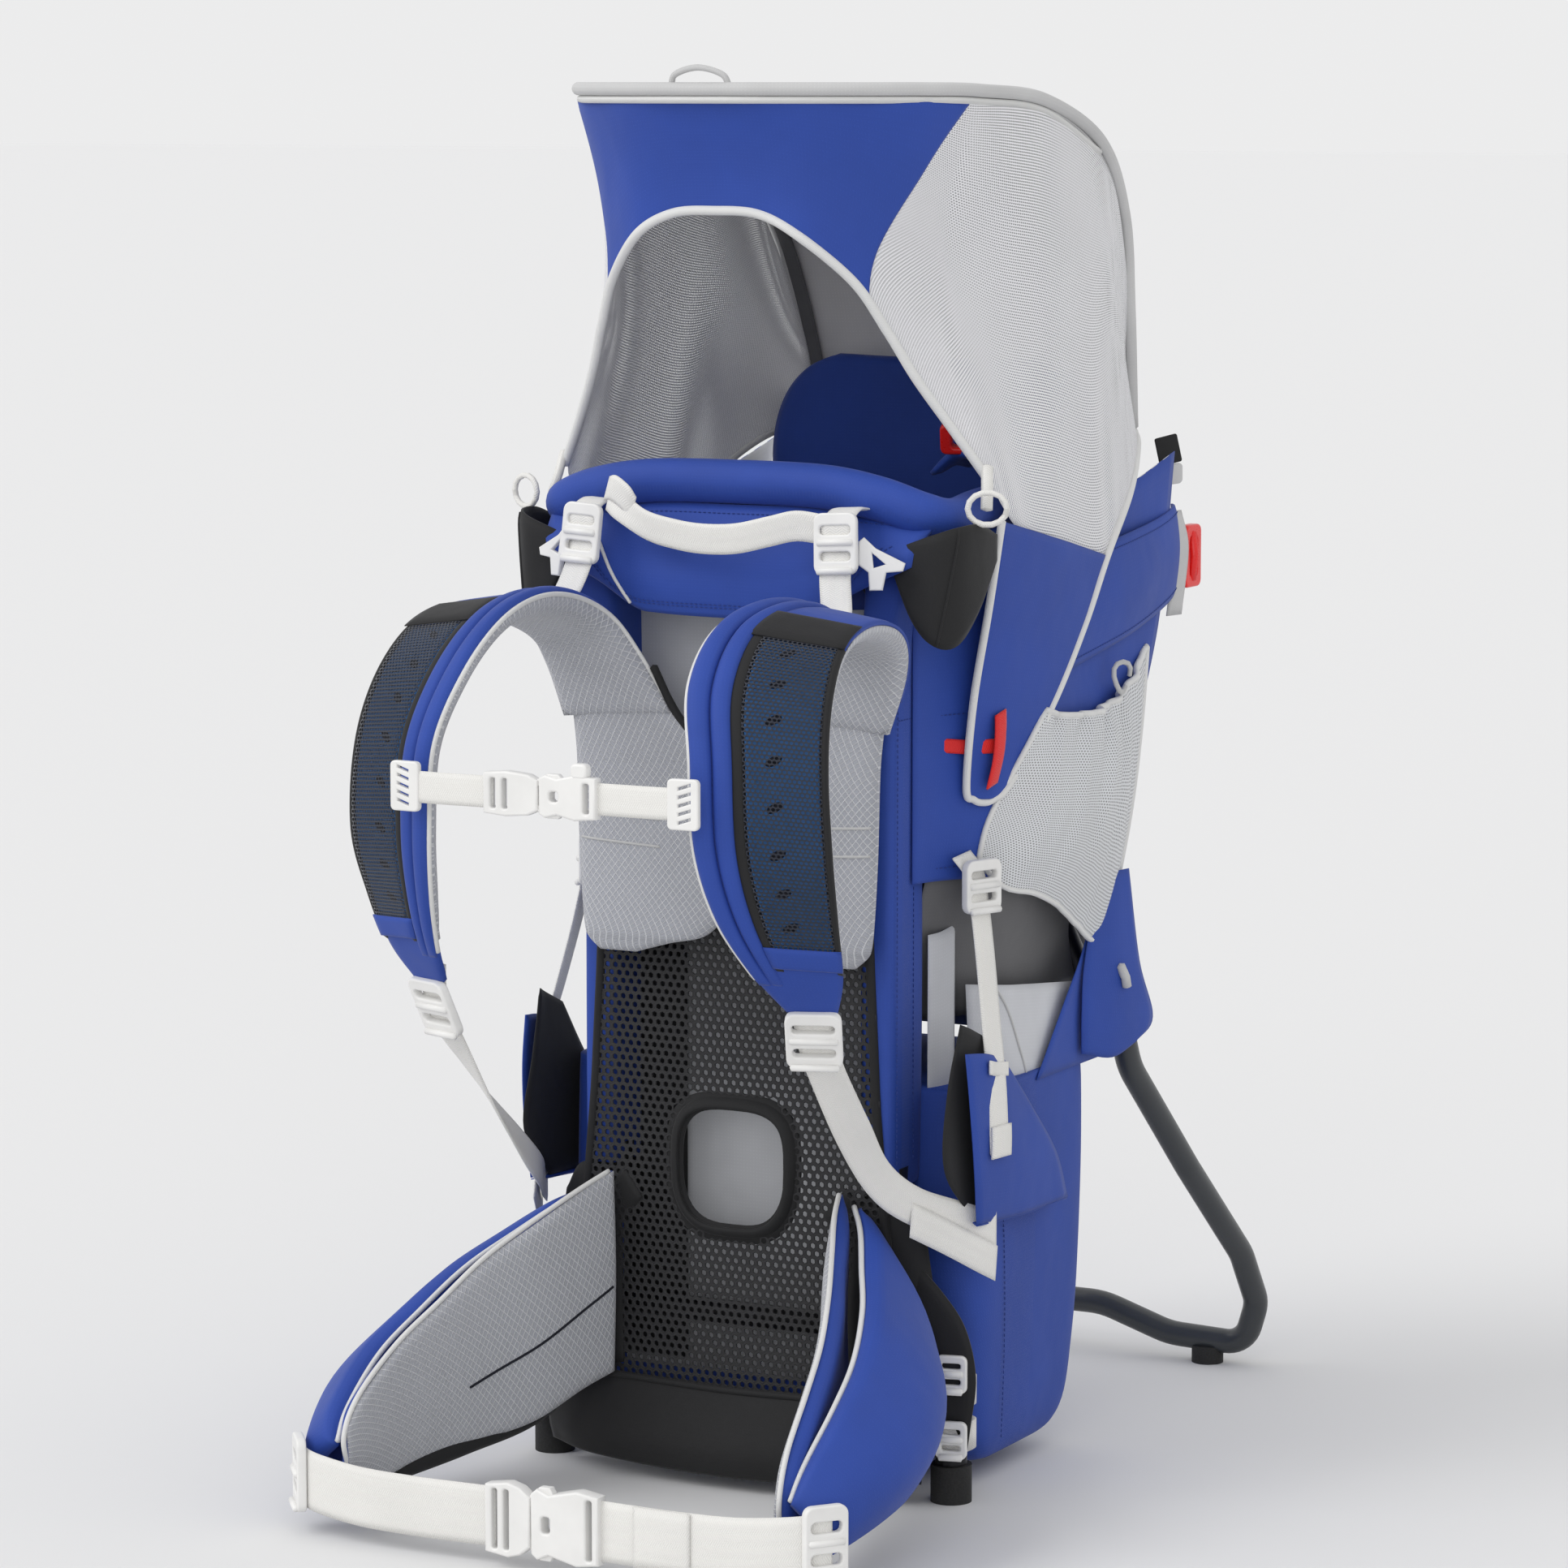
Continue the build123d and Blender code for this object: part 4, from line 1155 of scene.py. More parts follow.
def build_adjusters():
    middle = at(131, -166, 318)
    across = Vector((0.93, 0.36, 0))
    down = Vector((-0.05, 0.42, -0.9))
    lock = ladder_lock("strap_adjuster_right", middle, across, -down, 34, 40, 6.0)
    dress_pair(lock, WHITE_PLASTIC, "white_plastic", "harness", "strap_adjusters")
    tab = ribbon("adjuster_anchor_right", row((131, -168, 346), (131, -168, 334), (131, -165, 322)), across,
                 24 * MM, WEBBING_THICK)
    dress_pair(tab, WHITE_WEBBING, "white_webbing", "harness")


def build_harness_webbing():
    """The straps' lower webbing and the load lifters, which run between the harness and the frame."""
    line = [(131, -160, 312), (130, -148, 296), (128, -108, 252), (127, -70, 216), (134, -36, 194),
            (150, -2, 180), (162, 24, 170)]
    widths = [Vector((0.93, 0.36, 0))] * 2 + [Vector((0.6, 0.3, 0.5)), Vector((0.35, 0.3, 0.85)),
                                             Vector((0.2, 0.2, 1)), Vector((0.05, 0.1, 1)), UP]
    lower = ribbon("strap_webbing_right", row(*line), widths, 24 * MM, WEBBING_THICK, steps=10, wide=8)
    tail = ribbon("strap_webbing_tail_right",
                  row((134, -40, 186), (146, -16, 172), (158, 6, 158), (164, 20, 150)),
                  Vector((0, 0.15, 1)), 22 * MM, 1.8 * MM, steps=8, wide=6)
    lifter_line = row((89, -53, 600), (90, -58, 584), (95, -66, 566), (100, -76, 560))
    lifter = ribbon("lifter_webbing_right", lifter_line, Vector((1, 0.15, 0.05)), 20 * MM, WEBBING_THICK,
                    steps=8)
    ends = (
        (lower, at(131, -20, 186), at(131, -150, 300)),
        (lifter, at(89, -55, 602), at(98, -74, 562)),
    )
    for piece, fixed, moving in ends:
        piece.data.materials.append(WHITE_WEBBING)
        other = twin(piece, piece.name.replace("right", "left"))
        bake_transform(piece)
        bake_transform(other)
    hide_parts("harness_webbing")
    dress_pair(tail, WHITE_WEBBING, "white_webbing", "carrier")


def release_buckle(name, centre, gap_x, width, height, thick, female_body, male_body, slot_name, nodes):
    """A side-release buckle along X: female half to the right of gap_x, male half to its left."""
    def part(piece_name, outline, holes, depth, bevel, offset):
        return plate(piece_name, outline, holes, depth, bevel, facing(centre + offset, (1, 0, 0), (0, 0, 1)))

    h, w = height / 2, width / 2
    female_outline = [(gap_x, -h * 0.8), (gap_x + 4, -h * 0.95), (gap_x + 12, -h * 0.8), (w * 0.62, -h),
                      (w, -h * 0.9), (w, h * 0.9), (w * 0.62, h), (gap_x + 12, h * 0.8),
                      (gap_x + 4, h * 0.95), (gap_x, h * 0.8)]
    slot_ring = list(reversed([(x + w - 6.5, y) for x, y in rounded_outline(4.2, height - 9, 1.5, 3)]))
    window = list(reversed([(x + gap_x + 10, y) for x, y in rounded_outline(6, height * 0.22, 2.0, 3)]))
    shell = part(name + "_female", female_outline, [slot_ring, window], thick, 1.4, Vector())
    dress(shell, WHITE_PLASTIC, slot_name, female_body, nodes[0])
    male_outline = [(-w, -h * 0.9), (-w * 0.6, -h), (gap_x - 8, -h * 0.9), (gap_x - 1, -h * 0.66),
                    (gap_x - 1, h * 0.66), (gap_x - 8, h * 0.9), (-w * 0.6, h), (-w, h * 0.9)]
    slots = []
    for x_slot in (-w + 6.5, -w + 14.5):
        slots.append(list(reversed([(x + x_slot, y) for x, y in rounded_outline(3.8, height - 9, 1.4, 3)])))
    grip = part(name + "_male", male_outline, slots, thick * 0.9, 1.3, Vector())
    parts = [grip]
    for sign in (-1, 1):
        prong = [(gap_x - 2, sign * h * 0.72), (gap_x + 5, sign * h * 0.98), (gap_x + 12, sign * h * 0.98),
                 (gap_x + 17, sign * h * 0.62), (gap_x + 12, sign * h * 0.5), (gap_x - 2, sign * h * 0.4)]
        ring = prong if sign < 0 else list(reversed(prong))
        parts.append(part(name + "_prong", ring, [], thick * 0.55, 0.9, Vector()))
    catch = joined(name + "_male", parts)
    dress(catch, WHITE_PLASTIC, slot_name, male_body, nodes[1])
    return shell, catch


def build_sternum():
    release_buckle("sternum_buckle", at(0, -261, 468), 0, 76, 27, 8.5, "sternum", "sternum_catch",
                   "white_plastic", ("sternum_buckle_female", "sternum_buckle_male"))
    whistle = plate("sternum_whistle", rounded_outline(11, 9, 3), [], 7.0, 1.5,
                    facing(at(27, -262, 484), (1, 0, 0), (0, 0, 1)))
    dress(whistle, WHITE_PLASTIC, "white_plastic", "sternum")
    right_line = row((32, -261, 468), (52, -261, 468), (72, -261, 468), (90, -260, 468))
    right = ribbon("sternum_web_right", right_line, UP, 19 * MM, 1.8 * MM)
    dress(right, WHITE_WEBBING, "white_webbing", "sternum", "sternum_webbing_right")
    left_line = row((-90, -260, 468), (-72, -261, 468), (-52, -261, 468), (-33, -261, 468))
    left = ribbon("sternum_web_left", left_line, UP, 19 * MM, 1.8 * MM)
    left.data.materials.append(WHITE_WEBBING)
    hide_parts("sternum_webbing_left")
    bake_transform(left)
    for side, sign in (("right", 1), ("left", -1)):
        outline = rounded_outline(20, 30, 3)
        holes = []
        for k in range(5):
            z = -10 + 5 * k
            holes.append([(-3, z - 1.8), (-3, z), (5, z + 2.6), (5, z + 0.8)][::-1] if sign > 0 else
                         [(3, z - 1.8), (-5, z + 0.8), (-5, z + 2.6), (3, z)][::-1])
        slider = plate(f"sternum_slider_{side}", outline, holes, 4.5, 1.0,
                       facing(at(sign * 94, -259.5, 468), (1, 0.05 * sign, 0), (0, 0, 1)))
        dress(slider, WHITE_PLASTIC, "white_plastic", "sternum", *(["sternum_sliders"] if sign > 0 else []))


# ---------------------------------------------------------------- hip belt

HIP = [
    # X and Y of the pad's inner face, its low and top edges, and how far out the belt's outer face is
    (80, -34, 66, 196, 30), (90, -58, 58, 186, 46), (104, -92, 44, 170, 56), (120, -126, 38, 152, 60),
    (132, -160, 36, 130, 58), (141, -196, 32, 110, 48), (147, -232, 24, 84, 30), (149, -246, 22, 66, 20),
]


def hip_frames():
    places = [Vector((x, y, 0)) for x, y, *_ in HIP]
    frames = []
    for i in range(len(places)):
        run = places[min(i + 1, len(places) - 1)] - places[max(i - 1, 0)]
        frames.append((places[i], run.normalized().cross(Vector((0, 0, -1)))))
    return frames


def build_hip_belt():
    frames = hip_frames()
    shell_low, shell_mid, shell_top = [], [], []
    lows, tops = [], []
    for (place, out), (x, y, low, top, reach) in zip(frames, HIP):
        lows.append(at(x, y, low))
        tops.append(at(x, y, top))
        for line, share, z in ((shell_low, 0.72, low + 4), (shell_mid, 1.0, (low + top) / 2 - 2),
                               (shell_top, 0.35, top - 10)):
            spot = place + out * reach * share
            line.append(at(spot.x, spot.y, z))
    middles = [(a + b) / 2 for a, b in zip(lows, tops)]
    bowed = [m - Vector((out.x, out.y, 0)) * 2 * MM for m, (place, out) in zip(middles, frames)]
    outward = [list(reversed(line)) for line in (lows, bowed, tops)]
    pad = slab("hip_pad_right", spread(outward, 8, 12), 11 * MM, 0.4 * MM, crowned(5.0, 0.3))
    dress(pad, BLUE, "blue_fabric", "carrier", "hip_pads")
    inner = slab("hip_pad_face_right", spread([lows, bowed, tops], 10, 14), 4 * MM, 1 * MM,
                 crowned(3.5, 0.2))
    dress(inner, DIAMOND, "diamond_pad", "carrier")
    shell = slab("hip_shell_right", spread([shell_low, shell_mid, shell_top], 8, 12), 2.5 * MM, 12 * MM,
                 crowned(6.0, 0.4))
    dress(shell, BLUE, "blue_fabric", "carrier", "hip_shells")
    for piece in (pad, inner, shell):
        twin(piece, piece.name.replace("right", "left"))
    return shell_low, shell_mid, shell_top


def build_hip_details(shell_low, shell_mid, shell_top):
    """Piping, black stabilisers, the pocket and its tab, and the pad's dart seam."""
    rim = [p + UP * 2 * MM for p in shell_top]
    piping = pipe("hip_piping_right", curve_through(rim, 8), 1.8 * MM, sides=8)
    dress(piping, WHITE_BINDING, "white_webbing", "carrier")
    inner_edge = row((82, -36, 196), (91, -60, 187), (106, -93, 171), (121, -127, 153), (133, -161, 131),
                     (142, -197, 111), (148, -233, 85), (150, -247, 62), (148, -244, 40))
    pad_piping = pipe("hip_pad_piping_right", curve_through(inner_edge, 8), 1.7 * MM, sides=8)
    dress(pad_piping, WHITE_BINDING, "white_webbing", "carrier")
    for piece in (piping, pad_piping):
        twin(piece, piece.name.replace("right", "left"))
    pocket_low = [shell_low[i] + Vector((8, -3, 6)) * MM for i in (1, 2, 3, 4, 5, 6)]
    pocket_mid = [shell_mid[i] + Vector((9, -4, -4)) * MM for i in (1, 2, 3, 4, 5, 6)]
    pocket_top = [shell_mid[i].lerp(shell_top[i], 0.62) + Vector((6, -4, 0)) * MM
                  for i in (1, 2, 3, 4, 5, 6)]
    pocket_top = [p - UP * (14 * math.sin(math.pi * i / 5)) * MM for i, p in enumerate(pocket_top)]
    pocket = slab("hip_pocket_right", spread([pocket_low, pocket_mid, pocket_top], 8, 10), 2 * MM, 2 * MM,
                  crowned(6.0, 0.4))
    dress(pocket, BLUE, "blue_fabric", "carrier")
    hem_line = front_line("hip_pocket_right", (0.01, 0.985), (0.99, 0.985), 40, 0.2 * MM)
    hem = pipe("hip_pocket_hem_right", hem_line, 1.6 * MM, sides=8)
    dress(hem, BLUE_DEEP, "blue_fabric", "carrier")
    twin(pocket, "hip_pocket_left")
    twin(hem, "hip_pocket_hem_left")
    tab_root = on_front("hip_pocket_right", 0.35, 0.93, 1.0 * MM)
    tab_line = [tab_root + Vector(d) * MM for d in ((0, 0, -8), (2, -3, 0), (2, -3, 6), (0, 0, 12))]
    tab = ribbon("hip_pocket_tab_right", tab_line, Vector((0.4, -1, 0)), 10 * MM, 1.6 * MM)
    dress_pair(tab, WHITE_WEBBING, "white_webbing", "carrier")
    lower = row((84, -30, 76), (104, -84, 42), (126, -140, 30), (143, -200, 24))
    upper = row((82, -32, 100), (101, -86, 66), (124, -142, 50), (143, -202, 38))
    band = slab("hip_black_band_right", spread([lower, upper], 10, 6), 1.5 * MM, 4 * MM)
    dress_pair(band, BLACK, "black_fabric", "carrier")
    wing = slab("hip_wing_right", spread([
        row((78, -24, 70), (116, -14, 60), (136, -6, 58)),
        row((80, -22, 130), (118, -16, 128), (136, -8, 120)),
        row((82, -20, 190), (112, -14, 196), (128, -8, 176))], 6, 8), 3 * MM, 3 * MM, crowned(5.0, 0.3))
    dress_pair(wing, BLACK, "black_fabric", "carrier")
    dart = front_line("hip_pad_face_right", (0.02, 0.44), (0.50, 0.36), 24, 0.1 * MM)
    seam = pipe("hip_dart_right", dart, 0.9 * MM, sides=6)
    dress_pair(seam, FOAM_DARK, "diamond_pad", "carrier")


def build_hip_webbing():
    line = [(183, -244, 38), (176, -252, 36), (160, -259, 34), (128, -263, 31), (90, -263.5, 30),
            (60, -263, 30), (34, -262, 30)]
    right = ribbon("hip_web_right", row(*line), UP, 37 * MM, 2.2 * MM, steps=8, wide=8)
    dress(right, WHITE_WEBBING, "white_webbing", "carrier", "hip_webbing_right")
    left_line = [(-x, y, z) for x, y, z in reversed(line)]
    left_line = [(-34, -262, 30)] + left_line[1:]
    left = ribbon("hip_web_left", row(*reversed(left_line)), UP, 37 * MM, 2.2 * MM, steps=8, wide=8)
    left.data.materials.append(WHITE_WEBBING)
    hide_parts("hip_webbing_left")
    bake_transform(left)
    lock = ladder_lock("hip_lock_right", at(181, -249, 37), (0.62, 0.78, 0), (0, 0, 1), 28, 46, 6.0)
    dress_pair(lock, WHITE_PLASTIC, "white_plastic", "carrier", "hip_locks")
    release_buckle("hip_buckle", at(0, -262, 30), -7, 78, 46, 11.0, "carrier", "hip_catch", "white_plastic",
                   ("hip_buckle_female", "hip_buckle_male"))
    keeper = ribbon("hip_webbing_end_right", row((62, -265.5, 30), (84, -266, 30), (100, -265.4, 30)), UP,
                    37 * MM, WEBBING_THICK)
    dress(keeper, WHITE_WEBBING, "white_webbing", "carrier")


# ---------------------------------------------------------------- back net, window and base

NET_PITCH = 5.7
NET_HOLE = 3.7
WINDOW_X, WINDOW_Z = 38.0, 204.0


def net_half_width(z):
    """The net's half width in millimetres at a height."""
    stations = [(58, 130), (90, 118), (180, 106), (250, 100), (330, 96), (430, 92)]
    for (z0, w0), (z1, w1) in zip(stations, stations[1:]):
        if z <= z1:
            return w0 + (w1 - w0) * (z - z0) / (z1 - z0)
    return stations[-1][1]


def net_depth(x, z):
    """How far forward the net stands: it bows towards the wearer at the base."""
    bow = 6.0 * math.cos(math.pi * x / 280) * max(0.0, 1 - (z - 60) / 260)
    return -20.0 - bow


def hexagon(x, z, radius, depth):
    """Six places round a cell of the net, behind the net's face by a depth in millimetres."""
    ring = []
    for k in range(6):
        angle = math.radians(60 * k + 30)
        px = x + radius * math.cos(angle)
        pz = z + radius * math.sin(angle)
        ring.append(at(px, net_depth(px, pz) + depth, pz))
    return ring


def build_back_net():
    """Hexagonal net: each cell is a hexagon with a rounded hole, left out where the window is."""
    vertices, faces = [], []
    row_step = NET_PITCH * 0.866
    rows = int(370 / row_step)
    for r in range(rows):
        z = 60 + r * row_step
        shift = NET_PITCH / 2 if r % 2 else 0
        half = net_half_width(z)
        columns = int(half / NET_PITCH) + 1
        for c in range(-columns, columns + 1):
            x = c * NET_PITCH + shift
            if abs(x) > half or ((x / 44) ** 4 + ((z - WINDOW_Z) / 46) ** 4) < 1.0:
                continue
            base = len(vertices)
            vertices += hexagon(x, z, NET_PITCH * 0.5774, 0.0)
            vertices += hexagon(x, z, NET_HOLE * 0.56, -0.5)
            vertices += hexagon(x, z, NET_HOLE * 0.5, 0.9)
            for k in range(6):
                n = (k + 1) % 6
                faces.append((base + k, base + n, base + 6 + n, base + 6 + k))
                faces.append((base + 6 + k, base + 6 + n, base + 12 + n, base + 12 + k))
    net = new_object("back_net_cells", vertices, faces)
    dress(net, NET, "black_net", "carrier", "back_net")


def window_loop(half, count=48, depth=0.0):
    loop = []
    for k in range(count):
        angle = 2 * math.pi * k / count
        c, s = math.cos(angle), math.sin(angle)
        x = math.copysign(abs(c) ** 0.62, c) * half * (1.0 - 0.10 * max(0.0, -s))
        z = math.copysign(abs(s) ** 0.62, s) * half * (1.02 if s < 0 else 0.98)
        loop.append(at(x, net_depth(x, WINDOW_Z + z) + depth, WINDOW_Z + z))
    return loop


def build_window():
    ring = pipe("net_window_hem", window_loop(41.5, depth=-0.5), 5.0 * MM, closed=True, sides=12, flat=0.5)
    dress(ring, BLACK, "black_fabric", "carrier", "net_window_ring")
    outer, inner = window_loop(48), window_loop(36.5)
    vertices = outer + inner + [p + Vector((0, 2 * MM, 0)) for p in outer + inner]
    count = len(outer)
    faces = []
    for k in range(count):
        n = (k + 1) % count
        faces.append((k, n, count + n, count + k))
        faces.append((2 * count + k, 3 * count + k, 3 * count + n, 2 * count + n))
        faces.append((k, 2 * count + k, 2 * count + n, n))
        faces.append((count + k, count + n, 3 * count + n, 3 * count + k))
    band = new_object("net_window_band", vertices, faces)
    dress(band, BLACK, "black_fabric", "carrier")


def build_base():
    low = [(-132, -20, 14), (-90, -36, 11), (0, -44, 9), (90, -36, 11), (132, -20, 14)]
    mid = [(-134, -22, 32), (-92, -39, 30), (0, -47, 29), (92, -39, 30), (134, -22, 32)]
    top = [(-131, -19, 60), (-88, -26, 64), (0, -28, 62), (88, -26, 64), (131, -19, 60)]
    band = slab("base_band_cloth", spread([row(*low), row(*mid), row(*top)], 10, 8), 3 * MM, 6 * MM,
                crowned(7.0, 0.4))
    dress(band, BLACK, "black_fabric", "carrier", "base_band")
    hem = pipe("net_base_hem", front_line("base_band_cloth", (0.01, 0.97), (0.99, 0.97), 60, 0.5 * MM),
               2.4 * MM, sides=8)
    dress(hem, BLACK, "black_fabric", "carrier")
    for side, sign in (("right", 1), ("left", -1)):
        edge = []
        for k in range(30):
            z = 60 + 360 * k / 29
            x = net_half_width(z) * sign
            edge.append(at(x, net_depth(x, z) + 0.5, z))
        trim = pipe(f"net_edge_{side}", edge, 3.2 * MM, sides=8, flat=0.7)
        dress(trim, BLACK, "black_fabric", "carrier")
    band_line = row((72, -22, 188), (92, -18, 166), (114, -14, 146), (134, -15, 128), (149, -16, 108),
                    (154, -15, 84), (150, -14, 52), (145, -10, 30))
    widths = [Vector((0.7, 0.1, 0.9))] * 3 + [Vector((0.9, 0.2, 0.5))] * 2 + [Vector((1, 0.2, 0))] * 3
    curved = ribbon("base_side_band_right", band_line, widths, 24 * MM, 4 * MM, steps=8, wide=6)
    dress_pair(curved, BLACK, "black_fabric", "carrier")


def build_frame_wraps():
    parts = []
    for z in (44, 72):
        loops = []
        for level, size in ((-9, 14.6), (-9, 15.6), (9, 15.6), (9, 14.6)):
            loops.append(ellipse_loop(at(143, -2, z + level), Vector((size * MM, 0, 0)),
                                      Vector((0, size * MM, 0)), 24, 2.6))
        parts.append(lofted("wrap", loops))
    wraps = joined("frame_wraps_right", parts)
    dress_pair(wraps, WHITE_WEBBING, "white_plastic", "carrier", "frame_wraps")
    for index, z in enumerate((44, 86)):
        lock = ladder_lock(f"wrap_lock_right_{index}", at(152, -19, z), (1, 0.25, 0), (0, 0, 1), 20, 24, 4.5)
        dress_pair(lock, WHITE_PLASTIC, "white_plastic", "carrier")


# ---------------------------------------------------------------- cockpit, cargo hold and rear

def wall_x(y, extra=0.0):
    """How far out the side wall stands: it slants out from the sleeve, then runs straight."""
    slant = 112.6 + max(0.0, y - 14) * 37.5 / 74
    return min(slant, 150.0 - 1.5 * math.exp(-(y - 88) ** 2 / 300)) + extra


def shares(start, end, count):
    return [start + (end - start) * k / (count - 1) for k in range(count)]


def build_sleeves():
    levels = [(200, 98, 10.5, 20), (206, 98, 12.5, 23), (300, 98, 13, 24), (420, 98, 13, 24),
              (540, 99, 13, 24), (566, 102, 15, 22), (590, 107, 19, 19), (606, 110, 21, 15)]
    centres = curve_through([Vector(level[1:]) for level in levels], 4)
    heights = curve_through([Vector((level[0], 0, 0)) for level in levels], 4)
    loops = []
    for level, shape in zip(heights, centres):
        x, wide, deep = shape
        loops.append(ellipse_loop(at(x, deep - 19, level.x), Vector((wide * MM, 0, 0)),
                                  Vector((0, deep * MM, 0)), 40, 4.5))
    sleeve = lofted("frame_sleeve_right", loops)
    dress_pair(sleeve, BLUE, "blue_fabric", "carrier", "frame_sleeves")
    rows = [
        [at(111.3, -14, z) for z in range(212, 540, 6)], [at(111.3, 9, z) for z in range(212, 540, 6)],
        [at(111.4, y, 492) for y in range(-14, 10, 2)],
    ]
    stitches("sleeve_stitches_right", rows, BLUE_DEEP, "blue_fabric", "carrier")


def build_side_wall():
    heights = [(388, 368, 238), (412, 405, 248), (460, 460, 264), (535, 535, 300), (598, 640, 322)]
    rows = []
    for front_z, rear_z, rear_y in heights:
        line = []
        for share in (0, 0.1, 0.2, 0.32, 0.46, 0.64, 0.82, 1.0):
            y = 4 + (rear_y - 4) * share
            line.append(at(wall_x(y), y, front_z + (rear_z - front_z) * share ** 2))
        rows.append(line)
    wall = slab("side_wall_cloth_right", spread(rows, 6, 10), 1.2 * MM, 1.5 * MM)
    dress(wall, BLUE, "blue_fabric", "carrier", "side_wall_right", "side_wall_left")
    two_faced(wall, GREY_LINING)
    twin(wall, "side_wall_cloth_left")
    low_rows = [
        row(*[(148.5, y, 250) for y in shares(112, 226, 5)]),
        row(*[(149.5, y, 294 - 8 * (y < 140)) for y in shares(152, 231, 5)]),
        row(*[(150, y, 328) for y in shares(182, 234, 5)]),
        row(*[(150, y, 372) for y in shares(206, 240, 5)]),
    ]
    lower = slab("side_wall_lower_right", spread(low_rows, 6, 8), 1.2 * MM, 1.2 * MM)
    dress_pair(lower, BLUE, "blue_fabric", "carrier")
    seams = []
    for y in (70, 78):
        seams.append([at(wall_x(y, 1.5), y, z) for z in range(400, 596, 6)])
    seams.append([at(wall_x(y, 1.6), y, 492) for y in range(16, 70, 3)])
    seams.append([at(wall_x(y, 1.6), y, 396) for y in range(16, 52, 3)])
    stitches("wall_stitches_right", seams, BLUE_DEEP, "blue_fabric", "carrier")


def build_lining():
    """Grey lining: behind the wearer's back, round the leg openings and under the seat, with painted shade
    where it lies in shadow.
    """
    back_rows = [row(*[(x, 18, z) for x in shares(-99, 99, 5)]) for z in (62, 200, 340, 470, 600)]
    back = slab("lining_back", spread(back_rows, 4, 6), 1 * MM, 1 * MM)
    dress(back, GREY_LINING, "grey_lining", "carrier", "seat_lining")
    # painted shade: a black sheet over the left part of the back lining, where it lies in shadow
    shade_rows = [row(*[(x, 14, z) for x in shares(-99, -52, 3)]) for z in (66, 200, 345)]
    shade = slab("lining_shade", spread(shade_rows, 4, 6), 1 * MM, 1 * MM)
    dress(shade, BLACK, "black_fabric", "carrier")
    # painted shade: the upper lining of each leg opening is drawn in the darkened lining copy
    shaded = [row(*[(wall_x(y, -5 - drop * 0.22), y, 392 - drop) for y in shares(24, 232, 9)])
              for drop in (96, 60, 30, 0)]
    upper = slab("leg_lining_shaded_right", spread(shaded, 6, 6), 1 * MM, 1 * MM)
    dress_pair(upper, LINING_PAINTED_SHADE, "grey_lining", "carrier")
    strip_front = [row((112.5, 27, z), (116, 38, z + 1), (119, 52, z + 4)) for z in (240, 300, 353)]
    front = slab("leg_lining_front_right", spread(strip_front, 6, 8), 1 * MM, 1 * MM)
    dress_pair(front, GREY_LINING, "grey_lining", "carrier")
    flap = [row(*[(wall_x(y, -9 + drop * 0.05), y, 318 - (y - 60) * 0.12 - drop)
                  for y in shares(56, 224 - drop * 0.9, 7)])
            for drop in (74, 40, 0)]
    behind = slab("leg_lining_flap_right", spread(flap, 6, 6), 1 * MM, 1 * MM)
    dress_pair(behind, GREY_LINING, "grey_lining", "carrier")
    fold_line = front_line("leg_lining_flap_right", (0.12, 0.97), (0.5, 0.06), 16, 0.2 * MM)
    fold = pipe("leg_lining_seam_right", fold_line, 0.9 * MM)
    dress_pair(fold, GREY_CORD, "grey_lining", "carrier")
    label_rows = [row((-26, 13, z), (0, 13, z), (26, 13, z)) for z in (470, 520, 570)]
    label = slab("plain_label", spread(label_rows, 4, 4), 0.5 * MM, 0.5 * MM)
    dress(label, WHITE_BINDING, "grey_lining", "carrier")


def build_seat():
    saddle = slab("seat_cushion", spread([
        row(*[(x, y, 314 - 6 * abs(x / 80) ** 2) for x in shares(-80, 80, 7)])
        for y in (66, 100, 140, 180, 204)], 5, 8),
        10 * MM, 8 * MM, crowned(5.0, 0.4))
    dress(saddle, GREY_LINING, "grey_lining", "seat", "seat_saddle")
    back = slab("seat_back_cushion", spread([
        row(*[(x, 197, z) for x in shares(-80, 80, 7)]) for z in (322, 380, 460, 540)], 5, 8),
        7 * MM, 6 * MM, crowned(5.0, 0.4))
    dress(back, GREY_LINING, "grey_lining", "seat")
    skirt = slab("seat_skirt_right", spread([
        row(*[(86, y, z) for y in shares(60, 200, 6)]) for z in (297, 325, 350)], 6, 8), 1 * MM, 1 * MM)
    dress_pair(skirt, GREY_LINING, "grey_lining", "seat")
    for side, sign in (("right", 1), ("left", -1)):
        strap = ribbon(f"child_strap_{side}",
                       row((sign * 42, 186, 340), (sign * 42, 184, 430), (sign * 43, 186, 530)),
                       Vector((1, 0, 0)), 24 * MM, 2.4 * MM, steps=10)
        dress(strap, BLACK, "black_fabric", "seat", *(["child_harness"] if sign > 0 else []))
    cross = ribbon("child_strap_chest", row((-54, 182, 450), (0, 180, 450), (54, 182, 450)), UP, 20 * MM,
                   2.4 * MM)
    dress(cross, BLACK, "black_fabric", "seat")


